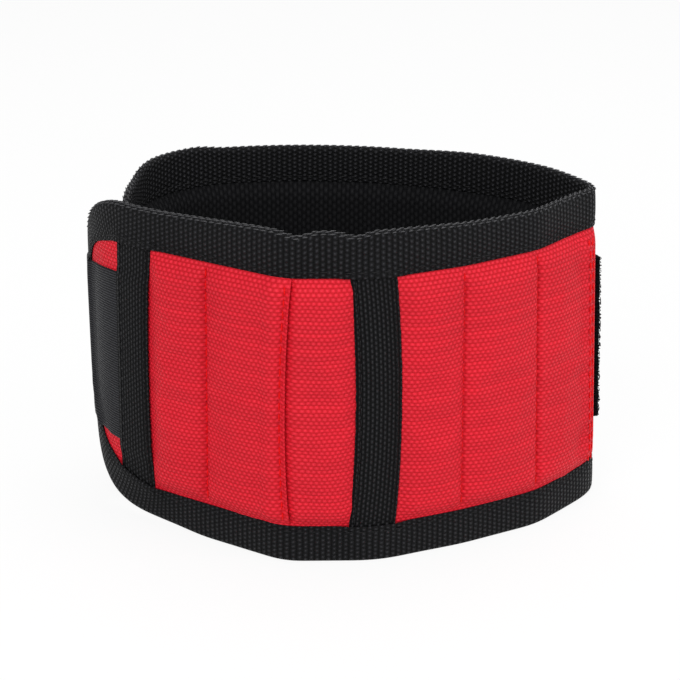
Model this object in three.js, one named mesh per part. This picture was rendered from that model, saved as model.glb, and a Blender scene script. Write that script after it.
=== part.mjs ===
// Magnetic wristband that holds screws and small steel tools, closed into a loop on its lower edge.
// Every cloth piece is drawn flat, as it is cut and sewn, and is then wrapped round the loop's plan.
// Pattern space: x runs along the band from its outer end, y up its height, z out from the wrist.
// The finished model is in millimetres, +Z up, with the magnet panel towards -Y.

import * as THREE from 'three';

// Band
const BAND_HEIGHT = 88;
const FLAP_LENGTH = 24.7;         // from the outer end to the end strip
const OUTER_END_TOP_RADIUS = 27;
const OUTER_END_BOTTOM_RADIUS = 41.3;
const INNER_END_RADIUS = 13;

// Layers of cloth
const LAYER_GAP = 0.25;
const COVER_THICKNESS = 0.7;
const BACKING_THICKNESS = 0.5;
const PADDING_THICKNESS = 1.6;
const LINING_THICKNESS = 0.9;
const SLOPE = 3;                  // run over which the lining rises onto the padding

// Edge tape, folded over both faces
const BINDING_WIDTH = 10.4;
const BINDING_THICKNESS = 0.6;
const BINDING_ROUND = 0.7;        // rounding of the two folded corners
const FOLD_ROOM = 0.5;            // from the cloth's cut edge to the inside of the fold

// Magnet pockets
const POCKET_COUNT = 6;
const POCKET_WIDTH = 23.35;       // from seam to seam
const SEAM_RUN = 8;               // length of band that bends at a seam
const MAGNET_ROWS = 3;
const MAGNET_WIDTH = 12;
const MAGNET_LENGTH = 16;
const MAGNET_THICKNESS = 1.5;
const MAGNET_CLEARANCE = 0.3;
const MAGNET_CHAMFER = 0.3;
const SHOULDER_SHARE = 0.9;       // run of a pocket's shoulder, as a share of the room beside a magnet
const SHOULDER_MIDDLE = 0.4;      // where a shoulder has its middle station, as a share of its run

// Webbing strips over two of the seams
const STRIP_WIDTH = 12;
const STRIP_THICKNESS = 1.1;
const STRIP_CLIMB = 2.5;          // run over which the end strip climbs onto the strap
const STRIP_SEAMS = [0, 3];

// Closing strap and its mating patch
const STRAP_WIDTH = 48;
const STRAP_THICKNESS = 0.7;
const STRAP_TIP_RADIUS = 10;
const STRAP_TUCK = 10;            // length held under the end strip
const STRAP_REST = 58;            // length that lies on the patch
const STRAP_STAND_OFF = 8.5;      // slack between the strap and the back's corner
const STRAP_DROP = 5;             // run over which the strap comes down from the edge tape
const STRAP_HINGE = 1.5;          // from the outer end to where the strap bends when it is peeled off
const HOOK_THICKNESS = 0.8;
const HOOK_MARGIN = 1.5;
const PATCH_THICKNESS = 1.6;
const PATCH_WIDTH = 47;
const PATCH_START = 2;            // from the fold's cut to the patch
const HINGE_GAP = 0.4;

// Plan of the closed loop: lengths of band, and how many degrees each one turns
const OUTER_END_HEADING = -87;
const FLAP_TURN = 42.9;
const SEAM_TURNS = [12.4, 0.4, 32.8, 21.7, 7.7, 18.1];
const FOLD_LENGTH = 10;
const FOLD_TURN = 74.8;
const BACK_SIDE_LENGTH = 26.5;
const BACK_SIDE_TURN = 23.8;
const BACK_LENGTH = 83.4;
const BACK_TURN = 44.8;
const BACK_CORNER_LENGTH = 40.5;
const BACK_CORNER_TURN = 72.5;
const TUCKED_LENGTH = 16;         // tail of the inner end, inside the outer end
const TUCKED_TURN = 14;

// Lean: how much further out the lower edge stands than the upper one
const OUTER_END_LEAN = 0.5;
const LEAN = 2.1;
const FOLD_LEAN = 4;
const MOST_LEAN = 5.5;
const MOST_LEAN_BEFORE = 9.5;     // from the place that leans most to the fold
const LEAN_RISE = 66;             // length of band before the fold over which it leans more and more
const LEAN_FALL = 40;             // length of band past the fold over which the lean falls back

// Fineness of the model
const STEP_TURN = 8;              // most that the plan turns between two stations, in degrees
const STATION_MERGE = 0.4;        // stations closer than this are one
const STRAP_STEP = 4;
const ARC_STEPS = 10;
const REST_STEPS = 6;
const CORNER_STEPS = 2;
const FLAP_STEPS = 12;
const CURVE_DIVISIONS = 50;

// Seams, pockets and the route
const hasStrip = (seam) => STRIP_SEAMS.includes(seam);
const firstSeam = FLAP_LENGTH + STRIP_WIDTH / 2;
const seamAt = (seam) => firstSeam + seam * POCKET_WIDTH;
const seamReach = (seam, plain) => (hasStrip(seam) ? STRIP_WIDTH / 2 : plain);
const pockets = [];
for (let k = 0; k < POCKET_COUNT; k += 1) {
  pockets.push({ from: seamAt(k) + seamReach(k, 0), to: seamAt(k + 1) - seamReach(k + 1, 0) });
}
const route = [{ length: FLAP_LENGTH, turn: FLAP_TURN }];
SEAM_TURNS.forEach((turn, seam) => {
  const after = seam + 1 < POCKET_COUNT ? seamReach(seam + 1, SEAM_RUN / 2) : 0;
  route.push({ length: 2 * seamReach(seam, SEAM_RUN / 2), turn });
  route.push({ length: POCKET_WIDTH - seamReach(seam, SEAM_RUN / 2) - after, turn: 0 });
});
route.push(
  { length: FOLD_LENGTH, turn: FOLD_TURN },
  { length: BACK_SIDE_LENGTH, turn: BACK_SIDE_TURN },
  { length: BACK_LENGTH, turn: BACK_TURN },
  { length: BACK_CORNER_LENGTH, turn: BACK_CORNER_TURN },
  { length: TUCKED_LENGTH, turn: TUCKED_TURN },
);
const bandLength = route.reduce((sum, run) => sum + run.length, 0);
const foldStart = seamAt(POCKET_COUNT);
const cut = foldStart + FOLD_LENGTH / 2;

const leanSteps = [
  { from: 0, to: FLAP_LENGTH, lean: LEAN },
  { from: cut - LEAN_RISE, to: cut - MOST_LEAN_BEFORE, lean: MOST_LEAN },
  { from: cut - MOST_LEAN_BEFORE, to: cut, lean: FOLD_LEAN },
  { from: cut, to: cut + LEAN_FALL, lean: LEAN },
];
function leanAt(distance) {
  const { lerp, smoothstep } = THREE.MathUtils;
  const take = (lean, step) => lerp(lean, step.lean, smoothstep(distance, step.from, step.to));
  return leanSteps.reduce(take, OUTER_END_LEAN);
}

// Place, heading and lean on the plan at a distance along the band
function planAt(distance) {
  let x = 0;
  let y = 0;
  let heading = THREE.MathUtils.degToRad(OUTER_END_HEADING);
  let left = distance;
  for (const run of route) {
    const length = run === route.at(-1) ? left : Math.min(left, run.length);
    const bend = THREE.MathUtils.degToRad(run.turn) / run.length;
    if (run.turn === 0) {
      x += length * Math.cos(heading);
      y += length * Math.sin(heading);
    } else {
      x += (Math.sin(heading + bend * length) - Math.sin(heading)) / bend;
      y += (Math.cos(heading) - Math.cos(heading + bend * length)) / bend;
    }
    heading += bend * length;
    left -= length;
    if (left <= 0) break;
  }
  return { x, y, heading, lean: leanAt(distance) };
}

// Lays a point of the pattern round a rail, leaning out towards the lower edge
function lay(rail, along, up, out) {
  const { x, y, heading, lean } = rail(along);
  const reach = out + lean * (0.5 - up / BAND_HEIGHT);
  return new THREE.Vector3(x + reach * Math.sin(heading), y - reach * Math.cos(heading), up);
}

function wrap(geometry, rail) {
  const position = geometry.attributes.position;
  for (let i = 0; i < position.count; i += 1) {
    const point = lay(rail, position.getX(i), position.getY(i), position.getZ(i));
    position.setXYZ(i, point.x, point.y, point.z);
  }
  geometry.computeVertexNormals();
  return geometry;
}

const sorted = (values) => [...new Set(values)].sort((a, b) => a - b);

// Stations along the band, close together where the plan bends
const stations = [0];
for (const run of route) {
  const steps = Math.max(1, Math.ceil(Math.abs(run.turn) / STEP_TURN));
  const start = stations.at(-1);
  for (let k = 1; k <= steps; k += 1) stations.push(start + run.length * k / steps);
}
function stationsBetween(from, to, extra = []) {
  const inside = (s) => s > from + STATION_MERGE && s < to - STATION_MERGE;
  const apart = (s, k, list) => k === 0 || s - list[k - 1] > STATION_MERGE;
  const kept = sorted([...stations, ...extra]).filter(inside).filter(apart);
  return [from, ...kept, to];
}

// Edges of the band's outline, set in by some distance, with its rounded ends
function roundedRise(fromEnd, radius, inset) {
  if (fromEnd >= radius) return inset;
  const across = radius - fromEnd;
  const inner = radius - inset;
  return radius - Math.sqrt(Math.max(inner * inner - across * across, 0));
}
const outerEnd = (inset) => ({
  low: (s) => roundedRise(s, OUTER_END_BOTTOM_RADIUS, inset),
  high: (s) => BAND_HEIGHT - roundedRise(s, OUTER_END_TOP_RADIUS, inset),
});
const innerEnd = (inset) => ({
  low: (s) => roundedRise(bandLength - s, INNER_END_RADIUS, inset),
  high: (s) => BAND_HEIGHT - roundedRise(bandLength - s, INNER_END_RADIUS, inset),
});
const plainEdges = (low, high) => ({ low: () => low, high: () => high });
function arcStations(radius, inset) {
  const list = [];
  for (let k = 1; k <= ARC_STEPS; k += 1) {
    list.push(radius - (radius - inset) * Math.cos(k / ARC_STEPS * Math.PI / 2));
  }
  return list;
}

// Rows of a sheet between its two edges: spread evenly, or kept with only the outermost two trimmed
function spread(row, rows, low, high) {
  return THREE.MathUtils.mapLinear(row, rows[0], rows.at(-1), low, high);
}
function trim(row, rows, low, high) {
  if (row === rows[0]) return low;
  return row === rows.at(-1) ? high : row;
}

// One layer of cloth: a closed sheet between an inner and an outer face
function sheet({ along, rows, edges, inner, outer, rail = planAt, fit = spread }) {
  const geometry = new THREE.BoxGeometry(1, 1, 1, along.length - 1, rows.length - 1, 1);
  const position = geometry.attributes.position;
  for (let i = 0; i < position.count; i += 1) {
    const s = along[Math.round((position.getX(i) + 0.5) * (along.length - 1))];
    const row = rows[Math.round((position.getY(i) + 0.5) * (rows.length - 1))];
    const up = fit(row, rows, edges.low(s), edges.high(s));
    position.setXYZ(i, s, up, position.getZ(i) > 0 ? outer(s, up) : inner(s, up));
  }
  return wrap(geometry, rail);
}

// A profile carried through a list of rings, with flat caps at both ends
function loft(rings, profile) {
  const count = profile.length;
  const positions = rings.flat().flatMap((p) => [p.x, p.y, p.z]);
  const index = [];
  for (let r = 0; r + 1 < rings.length; r += 1) {
    for (let k = 0; k < count; k += 1) {
      const a = r * count + k;
      const b = r * count + (k + 1) % count;
      index.push(a, b, b + count, a, b + count, a + count);
    }
  }
  const last = (rings.length - 1) * count;
  for (const [a, b, c] of THREE.ShapeUtils.triangulateShape(profile, [])) {
    index.push(a, c, b, last + a, last + b, last + c);
  }
  const geometry = new THREE.BufferGeometry();
  geometry.setAttribute('position', new THREE.Float32BufferAttribute(positions, 3));
  geometry.setIndex(index);
  return geometry;
}

// Levels out from the wrist, worked from where cover and lining meet at the edge
const coverIn = LAYER_GAP / 2;
const coverOut = coverIn + COVER_THICKNESS;
const liningOut = -LAYER_GAP / 2;
const liningIn = liningOut - LINING_THICKNESS;
const tapeOutIn = coverOut + LAYER_GAP;
const tapeOut = tapeOutIn + BINDING_THICKNESS;
const tapeInOut = liningIn - LAYER_GAP;
const tapeIn = tapeInOut - BINDING_THICKNESS;
const backingOut = coverIn - LAYER_GAP;
const backingIn = backingOut - BACKING_THICKNESS;
const paddingOut = backingIn - LAYER_GAP;
const paddingIn = paddingOut - PADDING_THICKNESS;
const liningSink = liningOut - (paddingIn - LAYER_GAP);
const magnetIn = coverIn;
const magnetOut = magnetIn + MAGNET_THICKNESS;
const pocketRise = magnetOut + MAGNET_CLEARANCE - coverIn;

const swell = (distance, run) => Math.sin(THREE.MathUtils.clamp(distance / run, 0, 1) * Math.PI / 2);

const clothInset = BINDING_THICKNESS + FOLD_ROOM;
const frameLow = BINDING_WIDTH + FOLD_ROOM;
const frameHigh = BAND_HEIGHT - frameLow;
const frontCut = cut - HINGE_GAP / 2;
const backCut = cut + HINGE_GAP / 2;

const oxford = new THREE.MeshStandardMaterial({ color: 0xd71a29, roughness: 0.75 });
const webbing = new THREE.MeshStandardMaterial({ color: 0x16161a, roughness: 0.85 });
const airMesh = new THREE.MeshStandardMaterial({ color: 0x1b1b1f, roughness: 0.95 });
const foam = new THREE.MeshStandardMaterial({ color: 0xd9d7cf, roughness: 1 });
const feltBacking = new THREE.MeshStandardMaterial({ color: 0x5b5b5e, roughness: 1 });
const nickel = new THREE.MeshStandardMaterial({ color: 0xb9bbbd, roughness: 0.35, metalness: 1 });
const hookTape = new THREE.MeshStandardMaterial({ color: 0x121214, roughness: 0.6 });
const loopPile = new THREE.MeshStandardMaterial({ color: 0x1c1c1f, roughness: 1 });

const band = new THREE.Group();
function addPiece(name, geometry, material) {
  const mesh = new THREE.Mesh(geometry, material);
  mesh.name = name;
  band.add(mesh);
}

// Red cover: swells over each pocket and lies flat at the seams and edges
const narrowPocket = Math.min(...pockets.map((p) => p.to - p.from));
const shoulder = SHOULDER_SHARE * (narrowPocket - MAGNET_WIDTH) / 2;
function pocketSwell(s, up) {
  const across = Math.min(up - frameLow, frameHigh - up);
  const beside = pockets.map((p) => Math.min(s - p.from, p.to - s));
  return pocketRise * swell(Math.max(...beside), shoulder) * swell(across, shoulder);
}
const coverOutline = outerEnd(clothInset);
const pocketStations = pockets.flatMap((p) => [
  p.from, p.from + SHOULDER_MIDDLE * shoulder, p.from + shoulder,
  p.to - shoulder, p.to - SHOULDER_MIDDLE * shoulder, p.to,
]);
const outerEndStations = [
  ...arcStations(OUTER_END_TOP_RADIUS, clothInset),
  ...arcStations(OUTER_END_BOTTOM_RADIUS, clothInset),
];
const coverRows = [
  clothInset, frameLow, frameLow + SHOULDER_MIDDLE * shoulder, frameLow + shoulder, BAND_HEIGHT / 2,
  frameHigh - shoulder, frameHigh - SHOULDER_MIDDLE * shoulder, frameHigh, BAND_HEIGHT - clothInset,
];
addPiece('front_cover', sheet({
  along: stationsBetween(clothInset, frontCut, [...pocketStations, ...outerEndStations]),
  rows: coverRows,
  edges: coverOutline,
  inner: (s, up) => coverIn + pocketSwell(s, up),
  outer: (s, up) => coverOut + pocketSwell(s, up),
}), oxford);

const innerEndStations = arcStations(INNER_END_RADIUS, clothInset).map((s) => bandLength - s);
addPiece('back_cover', sheet({
  along: stationsBetween(backCut, bandLength - clothInset, innerEndStations),
  rows: [clothInset, BAND_HEIGHT / 2, BAND_HEIGHT - clothInset],
  edges: innerEnd(clothInset),
  inner: () => coverIn,
  outer: () => coverOut,
}), oxford);

// Backing that the magnets are bonded to, behind the pockets only
const padLow = frameLow + SLOPE;
const padHigh = frameHigh - SLOPE;
const padRows = [padLow, BAND_HEIGHT / 2, padHigh];
addPiece('magnet_backing', sheet({
  along: stationsBetween(pockets[0].from, foldStart),
  rows: padRows,
  edges: plainEdges(padLow, padHigh),
  inner: () => backingIn,
  outer: () => backingOut,
}), feltBacking);

// Foam padding, front and back
const frontPadStart = pockets[0].from;
const backPadEnd = bandLength - INNER_END_RADIUS - SLOPE;
function padding(from, to) {
  return sheet({
    along: stationsBetween(from, to),
    rows: padRows,
    edges: plainEdges(padLow, padHigh),
    inner: () => paddingIn,
    outer: () => paddingOut,
  });
}
addPiece('front_padding', padding(frontPadStart, frontCut), foam);
addPiece('back_padding', padding(backCut, backPadEnd), foam);

// Lining of spacer mesh, drawn over the padding on the wrist side
const frame = outerEnd(frameLow);
function liningFall(s, up) {
  const across = Math.min(up - frame.low(s), frame.high(s) - up);
  const fromEnds = Math.min(s - frontPadStart + SLOPE, backPadEnd + SLOPE - s);
  return liningSink * swell(across, SLOPE) * swell(fromEnds, SLOPE);
}
const liningRows = [
  clothInset, frameLow, frameLow + SLOPE / 2, padLow, BAND_HEIGHT / 2, padHigh, frameHigh - SLOPE / 2,
  frameHigh, BAND_HEIGHT - clothInset,
];
function lining(from, to, edges, extra) {
  const slopes = [frontPadStart - SLOPE, frontPadStart - SLOPE / 2, frontPadStart,
    backPadEnd, backPadEnd + SLOPE / 2, backPadEnd + SLOPE];
  return sheet({
    along: stationsBetween(from, to, [...slopes, ...extra]),
    rows: liningRows,
    edges,
    inner: (s, up) => liningIn - liningFall(s, up),
    outer: (s, up) => liningOut - liningFall(s, up),
  });
}
addPiece('front_lining', lining(clothInset, frontCut, coverOutline, outerEndStations), airMesh);
addPiece('back_lining',
  lining(backCut, bandLength - clothInset, innerEnd(clothInset), innerEndStations), airMesh);

// Edge tape: a folded U carried along one edge, round the end and back along the other edge
const midLeg = BINDING_WIDTH / 2;
const tapeProfile = [
  [tapeOutIn, BINDING_WIDTH], [tapeOutIn, midLeg], [tapeOutIn, BINDING_THICKNESS],
  [tapeInOut, BINDING_THICKNESS], [tapeInOut, midLeg], [tapeInOut, BINDING_WIDTH],
  [tapeIn, BINDING_WIDTH], [tapeIn, midLeg], [tapeIn, BINDING_ROUND],
  [tapeIn + BINDING_ROUND, 0], [tapeOut - BINDING_ROUND, 0],
  [tapeOut, BINDING_ROUND], [tapeOut, midLeg], [tapeOut, BINDING_WIDTH],
].map(([out, inward]) => new THREE.Vector2(out, inward));

// One corner of an end: places on its arc, as distances from the end, and the way into the band
function cornerTurn(centreUp, radius, fromAngle, toAngle) {
  const turns = [];
  for (let k = 0; k <= ARC_STEPS; k += 1) {
    const angle = THREE.MathUtils.lerp(fromAngle, toAngle, k / ARC_STEPS);
    const along = Math.cos(angle);
    const up = Math.sin(angle);
    turns.push({ s: radius - radius * along, up: centreUp + radius * up, inS: along, inUp: -up });
  }
  return turns;
}
function endTurns(topRadius, bottomRadius) {
  return [
    ...cornerTurn(BAND_HEIGHT - topRadius, topRadius, Math.PI / 2, 0),
    ...cornerTurn(bottomRadius, bottomRadius, 0, -Math.PI / 2),
  ];
}
function edgePath(topStations, turns, bottomStations) {
  return [
    ...topStations.map((s) => ({ s, up: BAND_HEIGHT, inS: 0, inUp: -1 })),
    ...turns,
    ...bottomStations.map((s) => ({ s, up: 0, inS: 0, inUp: 1 })),
  ];
}
function binding(path) {
  const rings = path.map(({ s, up, inS, inUp }) => tapeProfile.map(
    (point) => lay(planAt, s + inS * point.y, up + inUp * point.y, point.x),
  ));
  return loft(rings, tapeProfile);
}
const frontTop = stationsBetween(OUTER_END_TOP_RADIUS + STATION_MERGE, frontCut);
const frontBottom = stationsBetween(OUTER_END_BOTTOM_RADIUS + STATION_MERGE, frontCut);
const frontTurns = endTurns(OUTER_END_TOP_RADIUS, OUTER_END_BOTTOM_RADIUS);
const frontPath = edgePath(frontTop.toReversed(), frontTurns, frontBottom);
addPiece('front_binding', binding(frontPath.toReversed()), webbing);

const backEdge = stationsBetween(backCut, bandLength - INNER_END_RADIUS - STATION_MERGE);
const backTurns = endTurns(INNER_END_RADIUS, INNER_END_RADIUS).map(
  (turn) => ({ ...turn, s: bandLength - turn.s, inS: -turn.inS }),
);
addPiece('back_binding', binding(edgePath(backEdge, backTurns, backEdge.toReversed())), webbing);

// Block magnets, bonded to the backing in a column per pocket
const rowPitch = (padHigh - padLow) / MAGNET_ROWS;
function magnetBlock(s, up) {
  const width = MAGNET_WIDTH - 2 * MAGNET_CHAMFER;
  const length = MAGNET_LENGTH - 2 * MAGNET_CHAMFER;
  const face = new THREE.Shape([
    new THREE.Vector2(-width / 2, -length / 2), new THREE.Vector2(width / 2, -length / 2),
    new THREE.Vector2(width / 2, length / 2), new THREE.Vector2(-width / 2, length / 2),
  ]);
  const geometry = new THREE.ExtrudeGeometry(face, {
    depth: MAGNET_THICKNESS - 2 * MAGNET_CHAMFER,
    bevelEnabled: true,
    bevelSegments: 1,
    bevelSize: MAGNET_CHAMFER,
    bevelThickness: MAGNET_CHAMFER,
  });
  geometry.translate(s, up, magnetIn + MAGNET_CHAMFER);
  return wrap(geometry, planAt);
}
pockets.forEach((pocket, column) => {
  for (let row = 0; row < MAGNET_ROWS; row += 1) {
    const up = padLow + rowPitch * (row + 0.5);
    const name = `magnet_${column + 1}_${row + 1}`;
    addPiece(name, magnetBlock((pocket.from + pocket.to) / 2, up), nickel);
  }
});

// Strap tape: lies on the patch at the back, passes the outer end and is held under the end strip
const strapLow = (BAND_HEIGHT - STRAP_WIDTH) / 2;
const strapHigh = (BAND_HEIGHT + STRAP_WIDTH) / 2;
const patchOut = coverOut + LAYER_GAP + PATCH_THICKNESS;
const strapOnPatch = patchOut + LAYER_GAP + HOOK_THICKNESS + LAYER_GAP;
const strapOnTape = tapeOut + LAYER_GAP;
const strapOnCover = coverOut + LAYER_GAP;
const cornerStart = bandLength - TUCKED_LENGTH - BACK_CORNER_LENGTH;
const bandPoint = (s, out) => {
  const { x, y, heading } = planAt(s);
  return new THREE.Vector3(x + out * Math.sin(heading), y - out * Math.cos(heading), 0);
};
const strapRoot = FLAP_LENGTH + STRAP_TUCK;
const besideCorner = Math.max(OUTER_END_BOTTOM_RADIUS - strapLow, 0);
const tapeInnerRadius = OUTER_END_BOTTOM_RADIUS - BINDING_WIDTH;
const dropStart = OUTER_END_BOTTOM_RADIUS - Math.sqrt(tapeInnerRadius ** 2 - besideCorner ** 2);
function flapLevel(s) {
  const share = THREE.MathUtils.smoothstep(s, dropStart, dropStart + STRAP_DROP);
  return THREE.MathUtils.lerp(strapOnTape, strapOnCover, share);
}
const strapPoints = [];
function passBy(s, out) {
  strapPoints.push(bandPoint(s, out).setZ(leanAt(s)));    // the third value carries the lean
}
for (let k = 0; k <= REST_STEPS; k += 1) {
  passBy(cornerStart - STRAP_REST * (1 - k / REST_STEPS), strapOnPatch);
}
for (let k = 1; k <= CORNER_STEPS; k += 1) {
  const share = k / CORNER_STEPS;
  passBy(cornerStart + share * BACK_CORNER_LENGTH, strapOnPatch + share * STRAP_STAND_OFF);
}
const hingePoint = strapPoints.length;
for (let k = 0; k <= FLAP_STEPS; k += 1) {
  const s = THREE.MathUtils.lerp(STRAP_HINGE, strapRoot, k / FLAP_STEPS);
  passBy(s, flapLevel(s));
}
const strapCurve = new THREE.CatmullRomCurve3(strapPoints);
strapCurve.arcLengthDivisions = CURVE_DIVISIONS * (strapPoints.length - 1);
const strapLength = strapCurve.getLength();
const strapHinge = strapCurve.getLengths()[CURVE_DIVISIONS * hingePoint];
function strapRail(along) {
  const share = THREE.MathUtils.clamp(along / strapLength, 0, 1);
  const point = strapCurve.getPointAt(share);
  const tangent = strapCurve.getTangentAt(share);
  return { x: point.x, y: point.y, heading: Math.atan2(tangent.y, tangent.x), lean: point.z };
}
function strapStations(from, to, extra = []) {
  const steps = Math.ceil((to - from) / STRAP_STEP);
  const even = [];
  for (let k = 1; k < steps; k += 1) even.push(from + (to - from) * k / steps);
  return [from, ...sorted([...even, ...extra]), to];
}
function strapEdges(inset) {
  const rise = (s) => roundedRise(s, STRAP_TIP_RADIUS, inset) + strapLow;
  return { low: rise, high: (s) => BAND_HEIGHT - rise(s) };
}
const tapeEnd = strapHinge - HINGE_GAP / 2;
const anchorStart = strapHinge + HINGE_GAP / 2;
addPiece('strap_tape', sheet({
  along: strapStations(0, tapeEnd, arcStations(STRAP_TIP_RADIUS, 0)),
  rows: [strapLow, BAND_HEIGHT / 2, strapHigh],
  edges: strapEdges(0),
  inner: () => 0,
  outer: () => STRAP_THICKNESS,
  rail: strapRail,
}), hookTape);
addPiece('hook_field', sheet({
  along: strapStations(HOOK_MARGIN, STRAP_REST, arcStations(STRAP_TIP_RADIUS, HOOK_MARGIN)),
  rows: [strapLow + HOOK_MARGIN, BAND_HEIGHT / 2, strapHigh - HOOK_MARGIN],
  edges: strapEdges(HOOK_MARGIN),
  inner: () => -LAYER_GAP - HOOK_THICKNESS,
  outer: () => -LAYER_GAP,
  rail: strapRail,
}), hookTape);
addPiece('strap_anchor', sheet({
  along: strapStations(anchorStart, strapLength),
  rows: [strapLow, BAND_HEIGHT / 2, strapHigh],
  edges: plainEdges(strapLow, strapHigh),
  inner: () => 0,
  outer: () => STRAP_THICKNESS,
  rail: strapRail,
}), hookTape);

// Looped pile patch on the outside of the back
const patchLow = (BAND_HEIGHT - PATCH_WIDTH) / 2;
const patchHigh = (BAND_HEIGHT + PATCH_WIDTH) / 2;
addPiece('loop_patch', sheet({
  along: stationsBetween(cut + PATCH_START, cornerStart),
  rows: [patchLow, BAND_HEIGHT / 2, patchHigh],
  edges: plainEdges(patchLow, patchHigh),
  inner: () => coverOut + LAYER_GAP,
  outer: () => patchOut,
}), loopPile);

// Webbing strips: one over the middle seam, one over the strap's held end
function strip(seam, rows, under) {
  return sheet({
    along: stationsBetween(seamAt(seam) - STRIP_WIDTH / 2, seamAt(seam) + STRIP_WIDTH / 2),
    rows,
    edges: frame,
    fit: trim,
    inner: (s, up) => under(up) + LAYER_GAP,
    outer: (s, up) => under(up) + LAYER_GAP + STRIP_THICKNESS,
  });
}
const [endSeam, middleSeam] = STRIP_SEAMS;
addPiece('centre_strip', strip(middleSeam, [frameLow, BAND_HEIGHT / 2, frameHigh], () => coverOut), webbing);
const climbs = [strapLow - STRIP_CLIMB, strapLow - LAYER_GAP, strapHigh + LAYER_GAP,
  strapHigh + STRIP_CLIMB];
function overStrap(up) {
  const outside = Math.max(strapLow - LAYER_GAP - up, up - strapHigh - LAYER_GAP);
  const share = 1 - THREE.MathUtils.clamp(outside / (STRIP_CLIMB - LAYER_GAP), 0, 1);
  return coverOut + share * (STRAP_THICKNESS + LAYER_GAP);
}
addPiece('end_strip', strip(endSeam, [frameLow, ...climbs, frameHigh], overStrap), webbing);

// The origin lies under the middle of the loop's box, on the surface that it stands on
const box = new THREE.Box3().setFromObject(band);
const centre = box.getCenter(new THREE.Vector3());
band.position.set(-centre.x, -centre.y, -box.min.z);

// Hinge lines: each stands just outside the outer face that it turns, at the lower edge too
const hinge = (rail, along, face) => {
  const outside = face + rail(along).lean / 2 + LAYER_GAP;
  return lay(rail, along, BAND_HEIGHT / 2, outside).add(band.position);
};
band.userData.hinges = {
  band_open: hinge(planAt, cut, tapeOut),
  strap_peel: hinge(strapRail, strapHinge, STRAP_THICKNESS),
};

export default band;
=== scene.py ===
import bisect
import math

import bmesh
import bpy
from mathutils import Matrix, Vector, geometry, noise


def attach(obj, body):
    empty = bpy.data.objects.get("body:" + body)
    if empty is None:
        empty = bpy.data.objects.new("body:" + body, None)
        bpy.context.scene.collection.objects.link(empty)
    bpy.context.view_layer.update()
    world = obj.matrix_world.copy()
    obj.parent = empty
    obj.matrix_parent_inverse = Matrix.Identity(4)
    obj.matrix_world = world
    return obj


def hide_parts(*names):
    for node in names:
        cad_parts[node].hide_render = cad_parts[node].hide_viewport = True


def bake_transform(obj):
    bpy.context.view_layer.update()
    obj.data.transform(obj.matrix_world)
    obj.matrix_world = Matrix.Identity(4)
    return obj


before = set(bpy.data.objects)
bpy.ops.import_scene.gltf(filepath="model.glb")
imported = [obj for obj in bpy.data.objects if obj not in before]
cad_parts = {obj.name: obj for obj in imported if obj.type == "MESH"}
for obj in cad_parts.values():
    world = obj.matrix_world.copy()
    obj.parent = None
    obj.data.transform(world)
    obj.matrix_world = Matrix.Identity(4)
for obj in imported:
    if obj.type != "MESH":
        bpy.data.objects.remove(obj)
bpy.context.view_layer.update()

# Quilted cover of the magnet panel
# One cut of coarse red polyester oxford over six columns of magnets. Seams between the columns
# hold it down to the backing, so that it swells into upright pockets; its edges go under the tape.

# The band's plan from its outer end to its inner end, as runs of a length and a turn in degrees
BAND_HEIGHT = 0.088
OUTER_END_PLACE = (-0.06879064, 0.00774552)
OUTER_END_HEADING = -87.0
FLAP_LENGTH = 0.0247
FLAP_TURN = 42.9
STRIP_WIDTH = 0.012
STRIP_SEAMS = (0, 3)
POCKET_WIDTH = 0.02335
POCKET_COUNT = 6
SEAM_RUN = 0.008
SEAM_TURNS = (12.4, 0.4, 32.8, 21.7, 7.7, 18.1)
FOLD_LENGTH = 0.010
FOLD_TURN = 74.8
BACK_SIDE_LENGTH = 0.0265
BACK_SIDE_TURN = 23.8
BACK_LENGTH = 0.0834
BACK_TURN = 44.8
BACK_CORNER_LENGTH = 0.0405
BACK_CORNER_TURN = 71.0
TUCKED_LENGTH = 0.016
TUCKED_TURN = 6.0


def seam_at(seam):
    return FLAP_LENGTH + STRIP_WIDTH / 2 + seam * POCKET_WIDTH


def seam_reach(seam, plain):
    return STRIP_WIDTH / 2 if seam in STRIP_SEAMS else plain


route = [(FLAP_LENGTH, FLAP_TURN)]
for seam, turn in enumerate(SEAM_TURNS):
    before = seam_reach(seam, SEAM_RUN / 2)
    after = seam_reach(seam + 1, SEAM_RUN / 2) if seam + 1 < POCKET_COUNT else 0.0
    route.append((2 * before, turn))
    route.append((POCKET_WIDTH - before - after, 0.0))
route.append((FOLD_LENGTH, FOLD_TURN))
route.append((BACK_SIDE_LENGTH, BACK_SIDE_TURN))
route.append((BACK_LENGTH, BACK_TURN))
route.append((BACK_CORNER_LENGTH, BACK_CORNER_TURN))
route.append((TUCKED_LENGTH, TUCKED_TURN))
band_length = sum(length for length, turn in route)
fold_start = seam_at(POCKET_COUNT)
fold_middle = fold_start + FOLD_LENGTH / 2

# Panel and tail are one cloth, parted at the fold where the band bends, so they lap a little there
FOLD_LAP = 0.0004
panel_end = fold_middle + FOLD_LAP
tail_start = fold_middle - FOLD_LAP


LEAST_BEND = 1e-9


def follow(place, heading, bend, distance):
    """Place and heading after a distance on a run that bends evenly."""
    turned = heading + bend * distance
    if abs(bend) < LEAST_BEND:
        step = Vector((math.cos(heading), math.sin(heading))) * distance
    else:
        across = math.sin(turned) - math.sin(heading)
        forward = math.cos(heading) - math.cos(turned)
        step = Vector((across, forward)) / bend
    return place + step, turned


run_starts = []
run_places = []
reached = 0.0
place = Vector(OUTER_END_PLACE)
heading = math.radians(OUTER_END_HEADING)
for length, turn in route:
    bend = math.radians(turn) / length
    run_starts.append(reached)
    run_places.append((place, heading, bend))
    place, heading = follow(place, heading, bend, length)
    reached += length

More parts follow.
